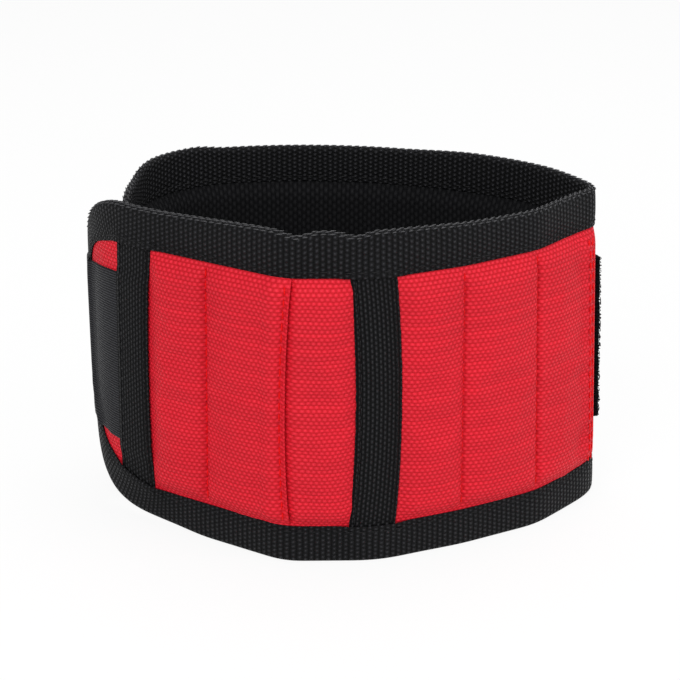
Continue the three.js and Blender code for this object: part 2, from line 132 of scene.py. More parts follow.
# The lower edge stands further out than the upper one, most of all just before the fold
OUTER_END_LEAN = -0.0003
LEAN = 0.0021
FOLD_LEAN = 0.004
MOST_LEAN = 0.0055
MOST_LEAN_AT = fold_middle - 0.0095
LEAN_FROM = fold_middle - 0.066
LEAN_TO = fold_middle + 0.040
lean_steps = [(0.0, FLAP_LENGTH, LEAN), (LEAN_FROM, MOST_LEAN_AT, MOST_LEAN),
              (MOST_LEAN_AT, fold_middle, FOLD_LEAN), (fold_middle, LEAN_TO, LEAN)]


def smooth(value, low, high):
    share = min(max((value - low) / (high - low), 0.0), 1.0)
    return share * share * (3.0 - 2.0 * share)


def lean_at(along):
    lean = OUTER_END_LEAN
    for start, end, to in lean_steps:
        lean += (to - lean) * smooth(along, start, end)
    return lean


# The strap pulls the outer end in a little
END_DRAW = 0.0006
END_DRAW_RUN = 0.02


def band_rail(along):
    run = max(bisect.bisect_right(run_starts, along) - 1, 0)
    place, heading = follow(*run_places[run], along - run_starts[run])
    drawn = END_DRAW * (1.0 - smooth(along, 0.0, END_DRAW_RUN))
    return place + Vector((drawn, 0.0)), heading, lean_at(along)


def lay(rail, along, up, out):
    """A point of the flat pattern, laid round a rail: along it, up the band and out from the wrist."""
    place, heading, lean = rail(along)
    reach = out + lean * (0.5 - up / BAND_HEIGHT)
    return Vector((place.x + reach * math.sin(heading), place.y - reach * math.cos(heading), up))


def corner_rise(from_end, radius, inset):
    """How far a rounded corner of the band's outline stands in from the straight edge."""
    if from_end >= radius:
        return inset
    return radius - math.sqrt(max((radius - inset) ** 2 - (radius - from_end) ** 2, 0.0))


def whole(bm):
    return bm.verts[:] + bm.edges[:] + bm.faces[:]


def cut_cloth(start, end, low, high, pitch, creases=(), row_pitch=None):
    """A flat grid of cloth between two places along the band, with its own pattern as the UV map."""
    bm = bmesh.new()
    tall = high((start + end) / 2) - low((start + end) / 2)
    columns = round((end - start) / pitch)
    rows = round(tall / (row_pitch or pitch))
    bmesh.ops.create_grid(bm, x_segments=columns, y_segments=rows, size=0.5)
    for vert in bm.verts:
        along = start + (end - start) * (vert.co.x + 0.5)
        up = low(along) + (high(along) - low(along)) * (vert.co.y + 0.5)
        vert.co = (along, up, 0.0)
    for crease in creases:
        bmesh.ops.bisect_plane(bm, geom=whole(bm), plane_co=(crease, 0, 0), plane_no=(1, 0, 0))
    pattern = bm.loops.layers.uv.new("pattern")
    for face in bm.faces:
        for loop in face.loops:
            loop[pattern].uv = loop.vert.co.xy
    return bm


def wrap(bm, rail=band_rail):
    for vert in bm.verts:
        vert.co = lay(rail, *vert.co)


def make_piece(name, bm, material, thickness=None, smoothing=0):
    """An object of the finished mesh, with a cloth's thickness and subdivision where they are given."""
    mesh = bpy.data.meshes.new(name)
    bm.to_mesh(mesh)
    bm.free()
    mesh.shade_smooth()
    mesh.materials.append(material)
    piece = bpy.data.objects.new(name, mesh)
    bpy.context.scene.collection.objects.link(piece)
    if thickness:
        solid = piece.modifiers.new("thickness", "SOLIDIFY")
        solid.thickness = thickness
        solid.offset = 0.0
    if smoothing:
        subdivision = piece.modifiers.new("smoothing", "SUBSURF")
        subdivision.levels = smoothing
        subdivision.render_levels = smoothing
    return piece


def math_node(tree, operation, *values):
    node = tree.nodes.new("ShaderNodeMath")
    node.operation = operation
    for socket, value in zip(node.inputs, values):
        if isinstance(value, bpy.types.NodeSocket):
            tree.links.new(value, socket)
        else:
            socket.default_value = value
    return node.outputs[0]


def noise_node(tree, coordinates, scale, detail=2.0):
    node = tree.nodes.new("ShaderNodeTexNoise")
    node.inputs["Scale"].default_value = scale
    node.inputs["Detail"].default_value = detail
    tree.links.new(coordinates, node.inputs["Vector"])
    return node


# Sockets of the mix node when it mixes colours
MIX_SHARE = 0
MIX_FIRST = 6
MIX_SECOND = 7
MIX_RESULT = 2


def colour_mix(tree, share, first, second):
    node = tree.nodes.new("ShaderNodeMix")
    node.data_type = "RGBA"
    tree.links.new(share, node.inputs[MIX_SHARE])
    node.inputs[MIX_FIRST].default_value = (*first, 1.0)
    node.inputs[MIX_SECOND].default_value = (*second, 1.0)
    return node.outputs[MIX_RESULT]


def span(tree, value, low, high):
    """A value from 0 to 1, spread from low to high."""
    return math_node(tree, "MULTIPLY_ADD", value, high - low, low)


SHEEN_ROUGHNESS = 0.4


def new_finish(name, sheen=0.0, specular=0.5, metallic=0.0):
    material = bpy.data.materials.new(name)
    material.use_nodes = True
    shader = material.node_tree.nodes["Principled BSDF"]
    shader.inputs["Sheen Weight"].default_value = sheen
    shader.inputs["Sheen Roughness"].default_value = SHEEN_ROUGHNESS
    shader.inputs["Specular IOR Level"].default_value = specular
    shader.inputs["Metallic"].default_value = metallic
    return material, material.node_tree, shader


def finish_surface(tree, shader, colour, height, depth, rough_low, rough_high):
    """Colour, roughness and relief of a surface from its height, which runs from 0 to 1."""
    bump = tree.nodes.new("ShaderNodeBump")
    bump.inputs["Distance"].default_value = depth
    tree.links.new(height, bump.inputs["Height"])
    tree.links.new(bump.outputs["Normal"], shader.inputs["Normal"])
    tree.links.new(span(tree, height, rough_low, rough_high), shader.inputs["Roughness"])
    tree.links.new(colour, shader.inputs["Base Color"])


def pattern_map(tree):
    node = tree.nodes.new("ShaderNodeUVMap")
    node.uv_map = "pattern"
    return node.outputs["UV"]


WANDER_SCALE = 220.0
CLOUD_SCALE = 45.0
CLOUD_DETAIL = 4.0
CLOUD_TONES = (-0.1, 0.1)       # what the cloudiness of the dye adds to the tone
THREAD_TONES = (0.92, 1.06)     # tone of one thread and another
KNUCKLE_LENGTH = 0.8            # below 1, a thread is longer over a crossing than under it


def pattern_axes(tree, pattern, wander):
    """The pattern's own coordinates, along and up, with the small wander of real threads."""
    drift = noise_node(tree, pattern, WANDER_SCALE)
    drifted = tree.nodes.new("ShaderNodeVectorMath")
    drifted.operation = "MULTIPLY_ADD"
    drifted.inputs[1].default_value = (wander, wander, 0.0)
    tree.links.new(drift.outputs["Color"], drifted.inputs[0])
    tree.links.new(pattern, drifted.inputs[2])
    axes = tree.nodes.new("ShaderNodeSeparateXYZ")
    tree.links.new(drifted.outputs[0], axes.inputs[0])
    return axes.outputs["X"], axes.outputs["Y"]


def woven_finish(name, shaded_gap, crown, threads, ribs_up, narrow, knuckle, depth, rough, specular, wander):
    """Woven cloth, with threads at their spacings along and up the pattern. The ribs are the threads
    that run up it, or along it; narrow is how sharply each one is rounded, and knuckle how much it
    dips where a crossing thread goes over. Its colour runs from the gap colour, which is painted
    shade between the threads, to the crown colour on their tops."""
    material, tree, shader = new_finish(name, specular=specular)
    pattern = pattern_map(tree)
    along, up = pattern_axes(tree, pattern, wander)
    along = math_node(tree, "MULTIPLY", along, math.pi / threads[0])
    up = math_node(tree, "MULTIPLY", up, math.pi / threads[1])
    across_rib, with_rib = (along, up) if ribs_up else (up, along)
    rib_wave = math_node(tree, "SINE", across_rib)
    dip_wave = math_node(tree, "SINE", with_rib)
    staggered = math_node(tree, "MULTIPLY", dip_wave, math_node(tree, "SIGN", rib_wave))
    over = math_node(tree, "POWER", span(tree, staggered, 0.5, 1.0), KNUCKLE_LENGTH)
    crossing = span(tree, over, 1.0 - knuckle, 1.0)
    rib = math_node(tree, "POWER", math_node(tree, "ABSOLUTE", rib_wave), narrow)
    height = math_node(tree, "MULTIPLY", rib, crossing)
    lot = tree.nodes.new("ShaderNodeTexWhiteNoise")
    lot.noise_dimensions = "1D"
    thread = math_node(tree, "FLOOR", math_node(tree, "DIVIDE", across_rib, math.pi))
    tree.links.new(thread, lot.inputs["W"])
    cloudy = noise_node(tree, pattern, CLOUD_SCALE, CLOUD_DETAIL)
    tone = math_node(tree, "ADD", span(tree, lot.outputs["Value"], *THREAD_TONES),
                     span(tree, cloudy.outputs["Fac"], *CLOUD_TONES))
    toned = tree.nodes.new("ShaderNodeHueSaturation")
    # painted shade: the cloth takes the gap colour where the threads sink between one another
    tree.links.new(colour_mix(tree, height, shaded_gap, crown), toned.inputs["Color"])
    tree.links.new(tone, toned.inputs["Value"])
    finish_surface(tree, shader, toned.outputs["Color"], height, depth, *rough)
    return material


# The gap colour is painted shade between the threads of the oxford
red_oxford = woven_finish(
    "red_oxford", shaded_gap=(0.46, 0.002, 0.008), crown=(0.78, 0.016, 0.038), threads=(0.00068, 0.00102),
    ribs_up=False, narrow=0.8, knuckle=0.85, depth=0.00018, rough=(0.8, 0.5), specular=0.22, wander=0.0003)

# The cut, its pockets and the level that it has between lining and tape
COVER_THICKNESS = 0.0004
COVER_LEVEL = 0.00035
COVER_INSET = 0.0013
COVER_PITCH = 0.0012
COVER_ROW_PITCH = 0.0014
TAPE_REACH = 0.0104
OUTER_TOP_RADIUS = 0.027
OUTER_BOTTOM_RADIUS = 0.0413
INNER_RADIUS = 0.013
MAGNET_WIDTH = 0.012
POCKET_RISE = 0.0021
POCKET_SHOULDER = 1.15          # shoulder's run as a share of the room beside a magnet
SEAM_VALLEY = 0.0015            # run of the steep side of the valley at a seam
STRIP_VALLEY = 0.0042           # the same beside a strip
VALLEY_SHARE = 0.55             # share of the rise that the valley's side has
POCKET_FROM_EDGE = 0.0109
END_SHOULDER = 0.005
LAPPED_SEAMS = (2, 6)
LAP_EDGE = 0.0008               # from the seam to the lap's free edge
LAP_WIDTH = 0.0032
LAP_RISE = 0.0012
LAP_DROP = 0.0004               # run over which the lip falls at its edge
LAP_GROOVE = 0.0014             # width of the groove past the lip
LAP_SINK = 0.0010               # depth of the groove
LAP_FADE = 0.0008               # run over which lip and groove end at the tape
LAP_TUCK = 0.0004               # the lip is turned under by this much
LAP_TUCK_RUN = 0.0014
BOWED_SEAM = 2
BOW_MIDDLE = -0.00085           # shift of the bowed seam at the middle of its height
BOW_TILT = 0.00025
BOW_CURVE = 0.00125
BOW_REACH = 0.006
VALLEY_CREASES = (-1.0, -0.5, 0.0, 0.5, 1.0)    # in valley runs from a seam
LAP_CREASES = (-0.5, 0.0, 0.5, 1.0, 1.5)        # in drops from a lap's edge
FOLD_SWELL = 0.0007
FOLD_SWELL_RUN = 0.003
FOLD_SWELL_END = 0.012

pockets = []
for pocket in range(POCKET_COUNT):
    pocket_from = seam_at(pocket) + seam_reach(pocket, 0.0)
    pocket_to = seam_at(pocket + 1) - seam_reach(pocket + 1, 0.0)
    pockets.append((pocket_from, pocket_to))
valleys = [STRIP_VALLEY if seam in STRIP_SEAMS else SEAM_VALLEY for seam in range(POCKET_COUNT + 1)]


def ease(distance, run):
    return math.sin(min(max(distance / run, 0.0), 1.0) * math.pi / 2)


def in_from_edge(up):
    return min(up, BAND_HEIGHT - up) - POCKET_FROM_EDGE


def pocket_rise(along, up):
    rise = 0.0
    for pocket, (pocket_from, pocket_to) in enumerate(pockets):
        inside = min(along - pocket_from, pocket_to - along)
        steep = min(ease(along - pocket_from, valleys[pocket]), ease(pocket_to - along, valleys[pocket + 1]))
        shoulder = POCKET_SHOULDER * (pocket_to - pocket_from - MAGNET_WIDTH) / 2
        share = VALLEY_SHARE * steep + (1.0 - VALLEY_SHARE) * ease(inside, shoulder)
        rise = max(rise, POCKET_RISE * share)
    return rise * ease(in_from_edge(up), END_SHOULDER)


def fold_swell(along, up):
    """The cloth stands out over the foam where the band folds."""
    begun = ease(along - fold_start, FOLD_SWELL_RUN)
    ended = 1.0 - smooth(along, fold_middle, fold_middle + FOLD_SWELL_END)
    return FOLD_SWELL * begun * ended * ease(in_from_edge(up), END_SHOULDER)


def lap_rise(along, up):
    """Lift of the folded lip of cloth that laps over a joining seam, and the groove past it."""
    lift = 0.0
    for seam in LAPPED_SEAMS:
        past = along - seam_at(seam) - LAP_EDGE
        lip = ease(LAP_DROP - past, LAP_DROP) * ease(past + 2 * LAP_WIDTH, LAP_WIDTH)
        groove = ease(past, LAP_DROP) * ease(LAP_DROP + LAP_GROOVE - past, LAP_GROOVE)
        lift += LAP_RISE * lip - LAP_SINK * groove
    return lift * ease(in_from_edge(up), LAP_FADE)


def lap_tuck(along, up):
    """Turns a lap's lip over the groove beside it."""
    tuck = 0.0
    for seam in LAPPED_SEAMS:
        beside = along - seam_at(seam) - LAP_EDGE - LAP_DROP / 2
        share = 1.0 - smooth(abs(beside), LAP_DROP / 2, LAP_TUCK_RUN)
        tuck -= math.copysign(LAP_TUCK * share, beside) if abs(beside) > LAP_DROP / 4 else 0.0
    return tuck * ease(in_from_edge(up), LAP_FADE)


def from_middle(up):
    """Height from the band's middle: 1 at the upper tape's inner edge and -1 at the lower one's."""
    return (2 * up - BAND_HEIGHT) / (BAND_HEIGHT - 2 * TAPE_REACH)


def seam_bow(along, up):
    """The joining seam was sewn in a slight curve, and the cloth beside it follows."""
    bow = BOW_MIDDLE + BOW_TILT * from_middle(up) + BOW_CURVE * from_middle(up) ** 2
    return bow * (1.0 - smooth(abs(along - seam_at(BOWED_SEAM)), 0.0, BOW_REACH))


# The upper rim is not quite straight: it sags at two places, and stands up or droops along others, each
# of which has a place, a half-length that is level, a half-length to its foot, and a height
RIM_SAG = 0.0012
RIM_SAG_RUN = 0.006
RIM_SAGS = (seam_at(2) + 0.0028, seam_at(3) - 0.006)
RIM_LIFTS = ((seam_at(2) + 0.011, 0.012, 0.055, 0.0014), (fold_middle + 0.032, 0.010, 0.034, 0.0008),
             (fold_middle + 0.136, 0.010, 0.020, 0.0010), (fold_middle + 0.170, 0.012, 0.030, -0.0017))
# The lower rim is drawn up at the corner
CORNER_DRAW = 0.0014
CORNER_DRAW_AT = 0.037
CORNER_DRAW_RUN = 0.018


def rim_sag(along):
    sag = 0.0
    for place in RIM_SAGS:
        sag += RIM_SAG * (1.0 - smooth(abs(along - place), 0.0, RIM_SAG_RUN))
    for place, level, foot, height in RIM_LIFTS:
        sag -= height * (1.0 - smooth(abs(along - place), level, foot))
    return sag


def corner_draw(along):
    return CORNER_DRAW * (1.0 - smooth(abs(along - CORNER_DRAW_AT), 0.0, CORNER_DRAW_RUN))


def outer_low(along):
    return corner_rise(along, OUTER_BOTTOM_RADIUS, COVER_INSET) + corner_draw(along)


def outer_high(along):
    return BAND_HEIGHT - corner_rise(along, OUTER_TOP_RADIUS, COVER_INSET) - rim_sag(along)


# The padding pushes the cloth out between its seams, and the seams gather it a little
SETTLE_SCALE = 10.0
SETTLE_FRAMES = 20
SETTLE_LIMIT = 0.0009
SINK_LIMIT = 0.0002
HELD_BESIDE_SEAM = 0.0009
HELD_BESIDE_LAP = 0.0024


def held_fast(along, up):
    if along < pockets[0][0] or along > fold_start or in_from_edge(up) < 0.0:
        return True
    for seam in range(POCKET_COUNT + 1):
        held = HELD_BESIDE_LAP if seam in LAPPED_SEAMS else HELD_BESIDE_SEAM
        if abs(along - seam_at(seam)) < held + seam_reach(seam, 0.0):
            return True
    return False


def settle_cloth(bm):
    bm.verts.index_update()
    mesh = bpy.data.meshes.new("settling")
    bm.to_mesh(mesh)
    mesh.transform(Matrix.Scale(SETTLE_SCALE, 4))
    settling = bpy.data.objects.new("settling", mesh)
    bpy.context.scene.collection.objects.link(settling)
    held = settling.vertex_groups.new(name="held")
    held.add([v.index for v in bm.verts if held_fast(v.co.x, v.co.y)], 1.0, "REPLACE")
    cloth = settling.modifiers.new("cloth", "CLOTH")
    cloth.settings.quality = 6
    cloth.settings.mass = 0.3
    cloth.settings.tension_stiffness = 25.0
    cloth.settings.compression_stiffness = 25.0
    cloth.settings.shear_stiffness = 10.0
    cloth.settings.bending_stiffness = 8.0
    cloth.settings.vertex_group_mass = held.name
    cloth.settings.use_pressure = True
    cloth.settings.uniform_pressure_force = 2.0
    cloth.settings.shrink_min = -0.01
    cloth.settings.effector_weights.gravity = 0.0
    for step in range(1, SETTLE_FRAMES + 1):
        bpy.context.scene.frame_set(step)
    settled = settling.evaluated_get(bpy.context.evaluated_depsgraph_get()).to_mesh()
    for vert in bm.verts:
        move = settled.vertices[vert.index].co / SETTLE_SCALE - vert.co
        if move.length > SETTLE_LIMIT:
            move *= SETTLE_LIMIT / move.length
        move.z = max(move.z, -SINK_LIMIT)
        vert.co += move
    bpy.data.objects.remove(settling)
    bpy.context.scene.frame_set(1)


creases = []
for seam in range(1, POCKET_COUNT + 1):
    creases += [seam_at(seam) + share * SEAM_VALLEY for share in VALLEY_CREASES]
for seam in LAPPED_SEAMS:
    creases += [seam_at(seam) + LAP_EDGE + share * LAP_DROP for share in LAP_CREASES]
cover_cut = cut_cloth(COVER_INSET, panel_end, outer_low, outer_high, COVER_PITCH, creases, COVER_ROW_PITCH)
for vert in cover_cut.verts:
    vert.co.z = COVER_LEVEL + pocket_rise(*vert.co.xy) + fold_swell(*vert.co.xy)
settle_cloth(cover_cut)
for vert in cover_cut.verts:
    along, up = vert.co.xy
    vert.co.z += lap_rise(along, up)
    vert.co.x += lap_tuck(along, up) + seam_bow(along, up)
wrap(cover_cut)
quilted_cover = make_piece("quilted_cover", cover_cut, red_oxford, COVER_THICKNESS, smoothing=1)
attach(quilted_cover, "front")
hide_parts("front_cover")

# Magnets
# Eighteen flat nickel-plated blocks, three up each pocket, bonded to the backing under the cover.
# Plating is bright with a fine cloudiness, and each block is a little different from the next.
MAGNET_NODES = sorted(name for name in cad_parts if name.startswith("magnet_") and name[-1].isdigit())


def grained_finish(name, dark, light, scale, detail, depth, rough, on_pattern=False, **gloss):
    """A surface with an uneven grain, which lies on the piece's own pattern or goes by place."""
    material, tree, shader = new_finish(name, **gloss)
    place = pattern_map(tree) if on_pattern else tree.nodes.new("ShaderNodeTexCoord").outputs["Object"]
    grain = noise_node(tree, place, scale, detail).outputs["Fac"]
    finish_surface(tree, shader, colour_mix(tree, grain, dark, light), grain, depth, *rough)
    return material


nickel = grained_finish(
    "nickel_plate", dark=(0.50, 0.49, 0.47), light=(0.66, 0.66, 0.65), scale=260.0, detail=5.0,
    depth=0.00002, rough=(0.28, 0.42), specular=0.5, metallic=1.0)
for name in MAGNET_NODES:
    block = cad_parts[name]
    block.data.materials.clear()
    block.data.materials.append(nickel)

# Backing of the magnets
# A strip of dark needled felt behind the six pockets. The magnets are glued to it, and the seams of
# the cover go through it.
FELT_THICKNESS = 0.0005
FELT_LEVEL = -0.000375
PAD_SLOPE = 0.003
PAD_INSET = POCKET_FROM_EDGE + PAD_SLOPE
HIDDEN_PITCH = 0.003


def soft_finish(name, dark, light, scale, depth):
    """Felt or foam: dull, with a cloudy colour and a fine grain."""
    return grained_finish(name, dark, light, scale, detail=6.0, depth=depth, rough=(0.95, 0.8),
                          on_pattern=True, sheen=0.1, specular=0.15)


def straight(level):
    """An edge of cloth that is cut straight along the band."""
    return lambda along: level


def flat_layer(name, start, end, level, thickness, material):
    bm = cut_cloth(start, end, straight(PAD_INSET), straight(BAND_HEIGHT - PAD_INSET), HIDDEN_PITCH)
    for vert in bm.verts:
        vert.co.z = level
    wrap(bm)
    return make_piece(name, bm, material, thickness, smoothing=1)


needled_felt = soft_finish("needled_felt", dark=(0.05, 0.05, 0.053), light=(0.15, 0.15, 0.155),
                           scale=900.0, depth=0.00015)
felt_backing = flat_layer("felt_backing", pockets[0][0], fold_start, FELT_LEVEL, FELT_THICKNESS, needled_felt)
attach(felt_backing, "front")
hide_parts("magnet_backing")

# Cover of the back
# The same red cloth, carried on round the fold and along the back to the end that tucks inside
# the outer end. It is plain there, and is bound with the lining by the edge tape.


def inner_low(along):
    return corner_rise(band_length - along, INNER_RADIUS, COVER_INSET)


def inner_high(along):
    return BAND_HEIGHT - inner_low(along) - max(rim_sag(along), 0.0)


BACK_PITCH = 0.0025
back_cut = cut_cloth(tail_start, band_length - COVER_INSET, inner_low, inner_high, BACK_PITCH)
for vert in back_cut.verts:
    vert.co.z = COVER_LEVEL + fold_swell(*vert.co.xy)
wrap(back_cut)
back_cloth = make_piece("back_cloth", back_cut, red_oxford, COVER_THICKNESS, smoothing=1)
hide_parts("back_cover")

# A place at the fold's middle on the wrist side; the pieces past the fold are fixed where they lie
WRIST_FACE = -0.007
bend_from = lay(band_rail, fold_middle, BAND_HEIGHT / 2, WRIST_FACE)


def bend_at_fold(piece):
    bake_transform(piece)


bend_at_fold(back_cloth)

# Foam padding
# Soft pale foam behind the magnets and along the back, between cover and lining, that keeps the
# blocks off the wrist. It is cut short of the edges, so that the tape can be folded flat.
FOAM_THICKNESS = 0.0016
FOAM_LEVEL = -0.001675
PAD_START = pockets[0][0]
PAD_END = band_length - INNER_RADIUS - PAD_SLOPE

pale_foam = soft_finish("pale_foam", dark=(0.50, 0.49, 0.44), light=(0.72, 0.71, 0.66),
                        scale=1400.0, depth=0.0002)
panel_foam = flat_layer("panel_foam", PAD_START, fold_middle, FOAM_LEVEL, FOAM_THICKNESS, pale_foam)
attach(panel_foam, "front")
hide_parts("front_padding")
tail_foam = flat_layer("tail_foam", fold_middle, PAD_END, FOAM_LEVEL, FOAM_THICKNESS, pale_foam)
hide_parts("back_padding")
bend_at_fold(tail_foam)

# Lining
# Black spacer mesh on the wrist side, front and back, drawn over the foam and bound in with the
# cover's edges. Its knitted face has rows of small holes that let the skin breathe.
LINING_THICKNESS = 0.0006
LINING_LEVEL = -0.00045
LINING_SINK = 0.0024
LINING_PITCH = 0.002

# The gap colour is painted shade between the threads of the mesh
spacer_mesh = woven_finish(
    "spacer_mesh", shaded_gap=(0.0015, 0.0015, 0.002), crown=(0.010, 0.010, 0.011), threads=(0.0013, 0.0011),
    ribs_up=True, narrow=0.7, knuckle=0.8, depth=0.0004, rough=(0.95, 0.8), specular=0.1, wander=0.0005)


def lining_level(along, up):
    from_low = up - corner_rise(along, OUTER_BOTTOM_RADIUS, POCKET_FROM_EDGE)
    from_high = BAND_HEIGHT - up - corner_rise(along, OUTER_TOP_RADIUS, POCKET_FROM_EDGE)
    from_end = min(along - PAD_START, PAD_END - along) + PAD_SLOPE
    sink = LINING_SINK * ease(min(from_low, from_high), PAD_SLOPE) * ease(from_end, PAD_SLOPE)
    return LINING_LEVEL - sink


def line_band(name, start, end, low, high):
    bm = cut_cloth(start, end, low, high, LINING_PITCH)
    for vert in bm.verts:
        vert.co.z = lining_level(vert.co.x, vert.co.y)
    wrap(bm)
    piece = make_piece(name, bm, spacer_mesh, LINING_THICKNESS, smoothing=1)
    return piece


panel_lining = line_band("panel_lining", COVER_INSET, panel_end, outer_low, outer_high)
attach(panel_lining, "front")
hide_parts("front_lining")
tail_lining = line_band("tail_lining", tail_start, band_length - COVER_INSET, inner_low, inner_high)
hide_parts("back_lining")
bend_at_fold(tail_lining)

# Loop patch
# The soft half of the fastener: a black tape with a raised pile of small loops, sewn round its edge
# to the outside of the back, from just past the fold to the corner.
PATCH_FROM = fold_middle + 0.0014
PATCH_TO = band_length - TUCKED_LENGTH - BACK_CORNER_LENGTH
PATCH_WIDTH = 0.047
PATCH_LOW = (BAND_HEIGHT - PATCH_WIDTH) / 2
PATCH_THICKNESS = 0.0012
PATCH_LEVEL = 0.0012
PATCH_PITCH = 0.0007
PILE_TUFT = 0.0007
PILE_TUFT_SCALE = 900.0
PILE_TUFT_LOT = 0.7             # a lot picks one draw of the noise
PILE_LEVEL = 0.002
PILE_COLUMNS = 110
PILE_ROWS = 50
PILE_SEED = 5                   # gives the same pile each time
LOOP_RADIUS = 0.0006
LOOP_THREAD = 0.0001
LOOP_SIDES = 3
LOOP_STEPS = 5
LOOP_LEAN = 0.0006
LOOP_STRETCH = 0.45
LOOP_CHANCE = (1.37, 1.71)      # steps in the noise from column to column and from row to row
LOOP_CHANCE_LOT = 3.1

# The gap colour is painted shade between the threads of the tape
pile_base = woven_finish(
    "pile_base", shaded_gap=(0.001, 0.001, 0.0013), crown=(0.005, 0.005, 0.006), threads=(0.0006, 0.0006),
    ribs_up=False, narrow=0.7, knuckle=0.8, depth=0.0002, rough=(0.95, 0.8), specular=0.1, wander=0.0004)
patch_base = cut_cloth(PATCH_FROM, PATCH_TO, straight(PATCH_LOW), straight(BAND_HEIGHT - PATCH_LOW),
                       PATCH_PITCH)
for vert in patch_base.verts:
    along, up = vert.co.xy
    tuft = noise.noise(Vector((along * PILE_TUFT_SCALE, up * PILE_TUFT_SCALE, PILE_TUFT_LOT)))
    vert.co.z = PATCH_LEVEL + fold_swell(along, up) + PILE_TUFT * (0.5 + 0.5 * tuft)
wrap(patch_base)
loop_tape = make_piece("loop_tape", patch_base, pile_base, PATCH_THICKNESS)
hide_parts("loop_patch")
bend_at_fold(loop_tape)

pile_thread = grained_finish(
    "pile_thread", dark=(0.002, 0.002, 0.003), light=(0.010, 0.010, 0.014), scale=700.0, detail=3.0,
    depth=0.00005, rough=(0.8, 0.6), sheen=0.25, specular=0.2)


def repeat_across(bm, first, count, step):
    """Repeats part of a mesh at even steps."""
    for copy in range(1, count):
        repeated = bmesh.ops.duplicate(bm, geom=first)
        verts = [part for part in repeated["geom"] if isinstance(part, bmesh.types.BMVert)]
        bmesh.ops.translate(bm, verts=verts, vec=step * copy)


pile_step = (PATCH_TO - PATCH_FROM) / PILE_COLUMNS
pile_rise = PATCH_WIDTH / PILE_ROWS
pile = bmesh.new()
thread_end = bmesh.ops.create_circle(pile, cap_ends=False, segments=LOOP_SIDES, radius=LOOP_THREAD)
bmesh.ops.translate(pile, verts=thread_end["verts"], vec=(LOOP_RADIUS, 0.0, 0.0))
bmesh.ops.spin(pile, geom=pile.verts[:] + pile.edges[:], cent=(0, 0, 0), axis=(0, -1, 0), angle=math.pi,
               steps=LOOP_STEPS)
bmesh.ops.holes_fill(pile, edges=pile.edges[:], sides=LOOP_SIDES)
bmesh.ops.recalc_face_normals(pile, faces=pile.faces[:])
first_place = Vector((PATCH_FROM + pile_step / 2, PATCH_LOW + pile_rise / 2, PILE_LEVEL))
bmesh.ops.translate(pile, verts=pile.verts[:], vec=first_place)
repeat_across(pile, whole(pile), PILE_ROWS, Vector((0.0, pile_rise, 0.0)))
repeat_across(pile, whole(pile), PILE_COLUMNS, Vector((pile_step, 0.0, 0.0)))
noise.seed_set(PILE_SEED)
for vert in pile.verts:
    column = math.floor((vert.co.x - PATCH_FROM) / pile_step)
    row = math.floor((vert.co.y - PATCH_LOW) / pile_rise)
    chance = noise.noise_vector(Vector((column * LOOP_CHANCE[0], row * LOOP_CHANCE[1], LOOP_CHANCE_LOT)))
    middle = first_place + Vector((column * pile_step, row * pile_rise, 0.0))
    turned = Matrix.Rotation(chance.x * math.pi, 3, "Z") @ (vert.co - middle)
    turned.z *= 1.0 + LOOP_STRETCH * chance.z
    tip = turned.z / LOOP_RADIUS
    vert.co = middle + turned + Vector((chance.y, chance.x, 0.0)) * LOOP_LEAN * tip
    vert.co.z += fold_swell(*middle.xy)
wrap(pile)
loop_pile = make_piece("loop_pile", pile, pile_thread)
bend_at_fold(loop_pile)

# Closing strap
# A finely ribbed nylon tape, sewn down under the end strip. It passes round the outer end and lies on
# the loop patch at the back.
STRAP_WIDTH = 0.048
STRAP_LOW = (BAND_HEIGHT - STRAP_WIDTH) / 2
STRAP_THICKNESS = 0.0005
STRAP_TIP_RADIUS = 0.010
STRAP_REST = 0.058
STRAP_ROOT = 0.0347
STRAP_HINGE = 0.0015
STRAP_ON_PATCH = 0.003975
STRAP_ON_TAPE = 0.00115
STRAP_ON_COVER = 0.0006
STRAP_DROP = 0.0014             # run over which it comes down from the tape
END_NARROWING = 0.3             # share of the tape's outer leg that is drawn in round the end
STRAP_CROSSING = 0.9            # share of that narrowing where the strap crosses the tape
END_REACH = TAPE_REACH * (1.0 - STRAP_CROSSING * END_NARROWING)
STRAP_SLACK = 0.024
STRAP_GATHER = 0.09             # share of its width that it loses where it turns round the end
STRAP_GATHER_AT = -0.002
STRAP_GATHER_RUN = 0.026
STRAP_RISE = 0.0011             # it is sewn down a little above the band's middle
STRAP_RISE_RUN = 0.02
STRAP_RIDGE = 0.0006            # crease where it comes off the tape under it, and a groove past that
STRAP_RIDGE_RUN = 0.0012
STRAP_GROOVE = 0.0004
STRAP_GROOVE_AT = 0.004
STRAP_TURN_IN = 0.008
STRAP_PITCH = 0.0008
STRAP_ROW_PITCH = 0.0016
REST_STEPS = 12
CORNER_STEPS = 18
FLAP_STEPS = 30


def strap_point(along, out):
    place, heading, lean = band_rail(along)
    return Vector((place.x + out * math.sin(heading), place.y - out * math.cos(heading), lean))


def strap_handle(along, out, reach):
    place, heading, lean = band_rail(along)
    return strap_point(along, out) + Vector((math.cos(heading), math.sin(heading), 0.0)) * reach


def tape_inner_edge(up):
    """How far the edge tape reaches over the flap from its end."""
    low = max(OUTER_BOTTOM_RADIUS - up, 0.0)
    high = max(OUTER_TOP_RADIUS - BAND_HEIGHT + up, 0.0)
    low_edge = OUTER_BOTTOM_RADIUS - math.sqrt((OUTER_BOTTOM_RADIUS - END_REACH) ** 2 - low ** 2)
    high_edge = OUTER_TOP_RADIUS - math.sqrt((OUTER_TOP_RADIUS - END_REACH) ** 2 - high ** 2)
    return max(low_edge, high_edge)


def flap_level(along, up=BAND_HEIGHT / 2):
    """Level of the strap over the flap: on the tape, then down on the cover past the tape's inner edge."""
    edge = tape_inner_edge(up)
    return STRAP_ON_TAPE + (STRAP_ON_COVER - STRAP_ON_TAPE) * smooth(along, edge, edge + STRAP_DROP)


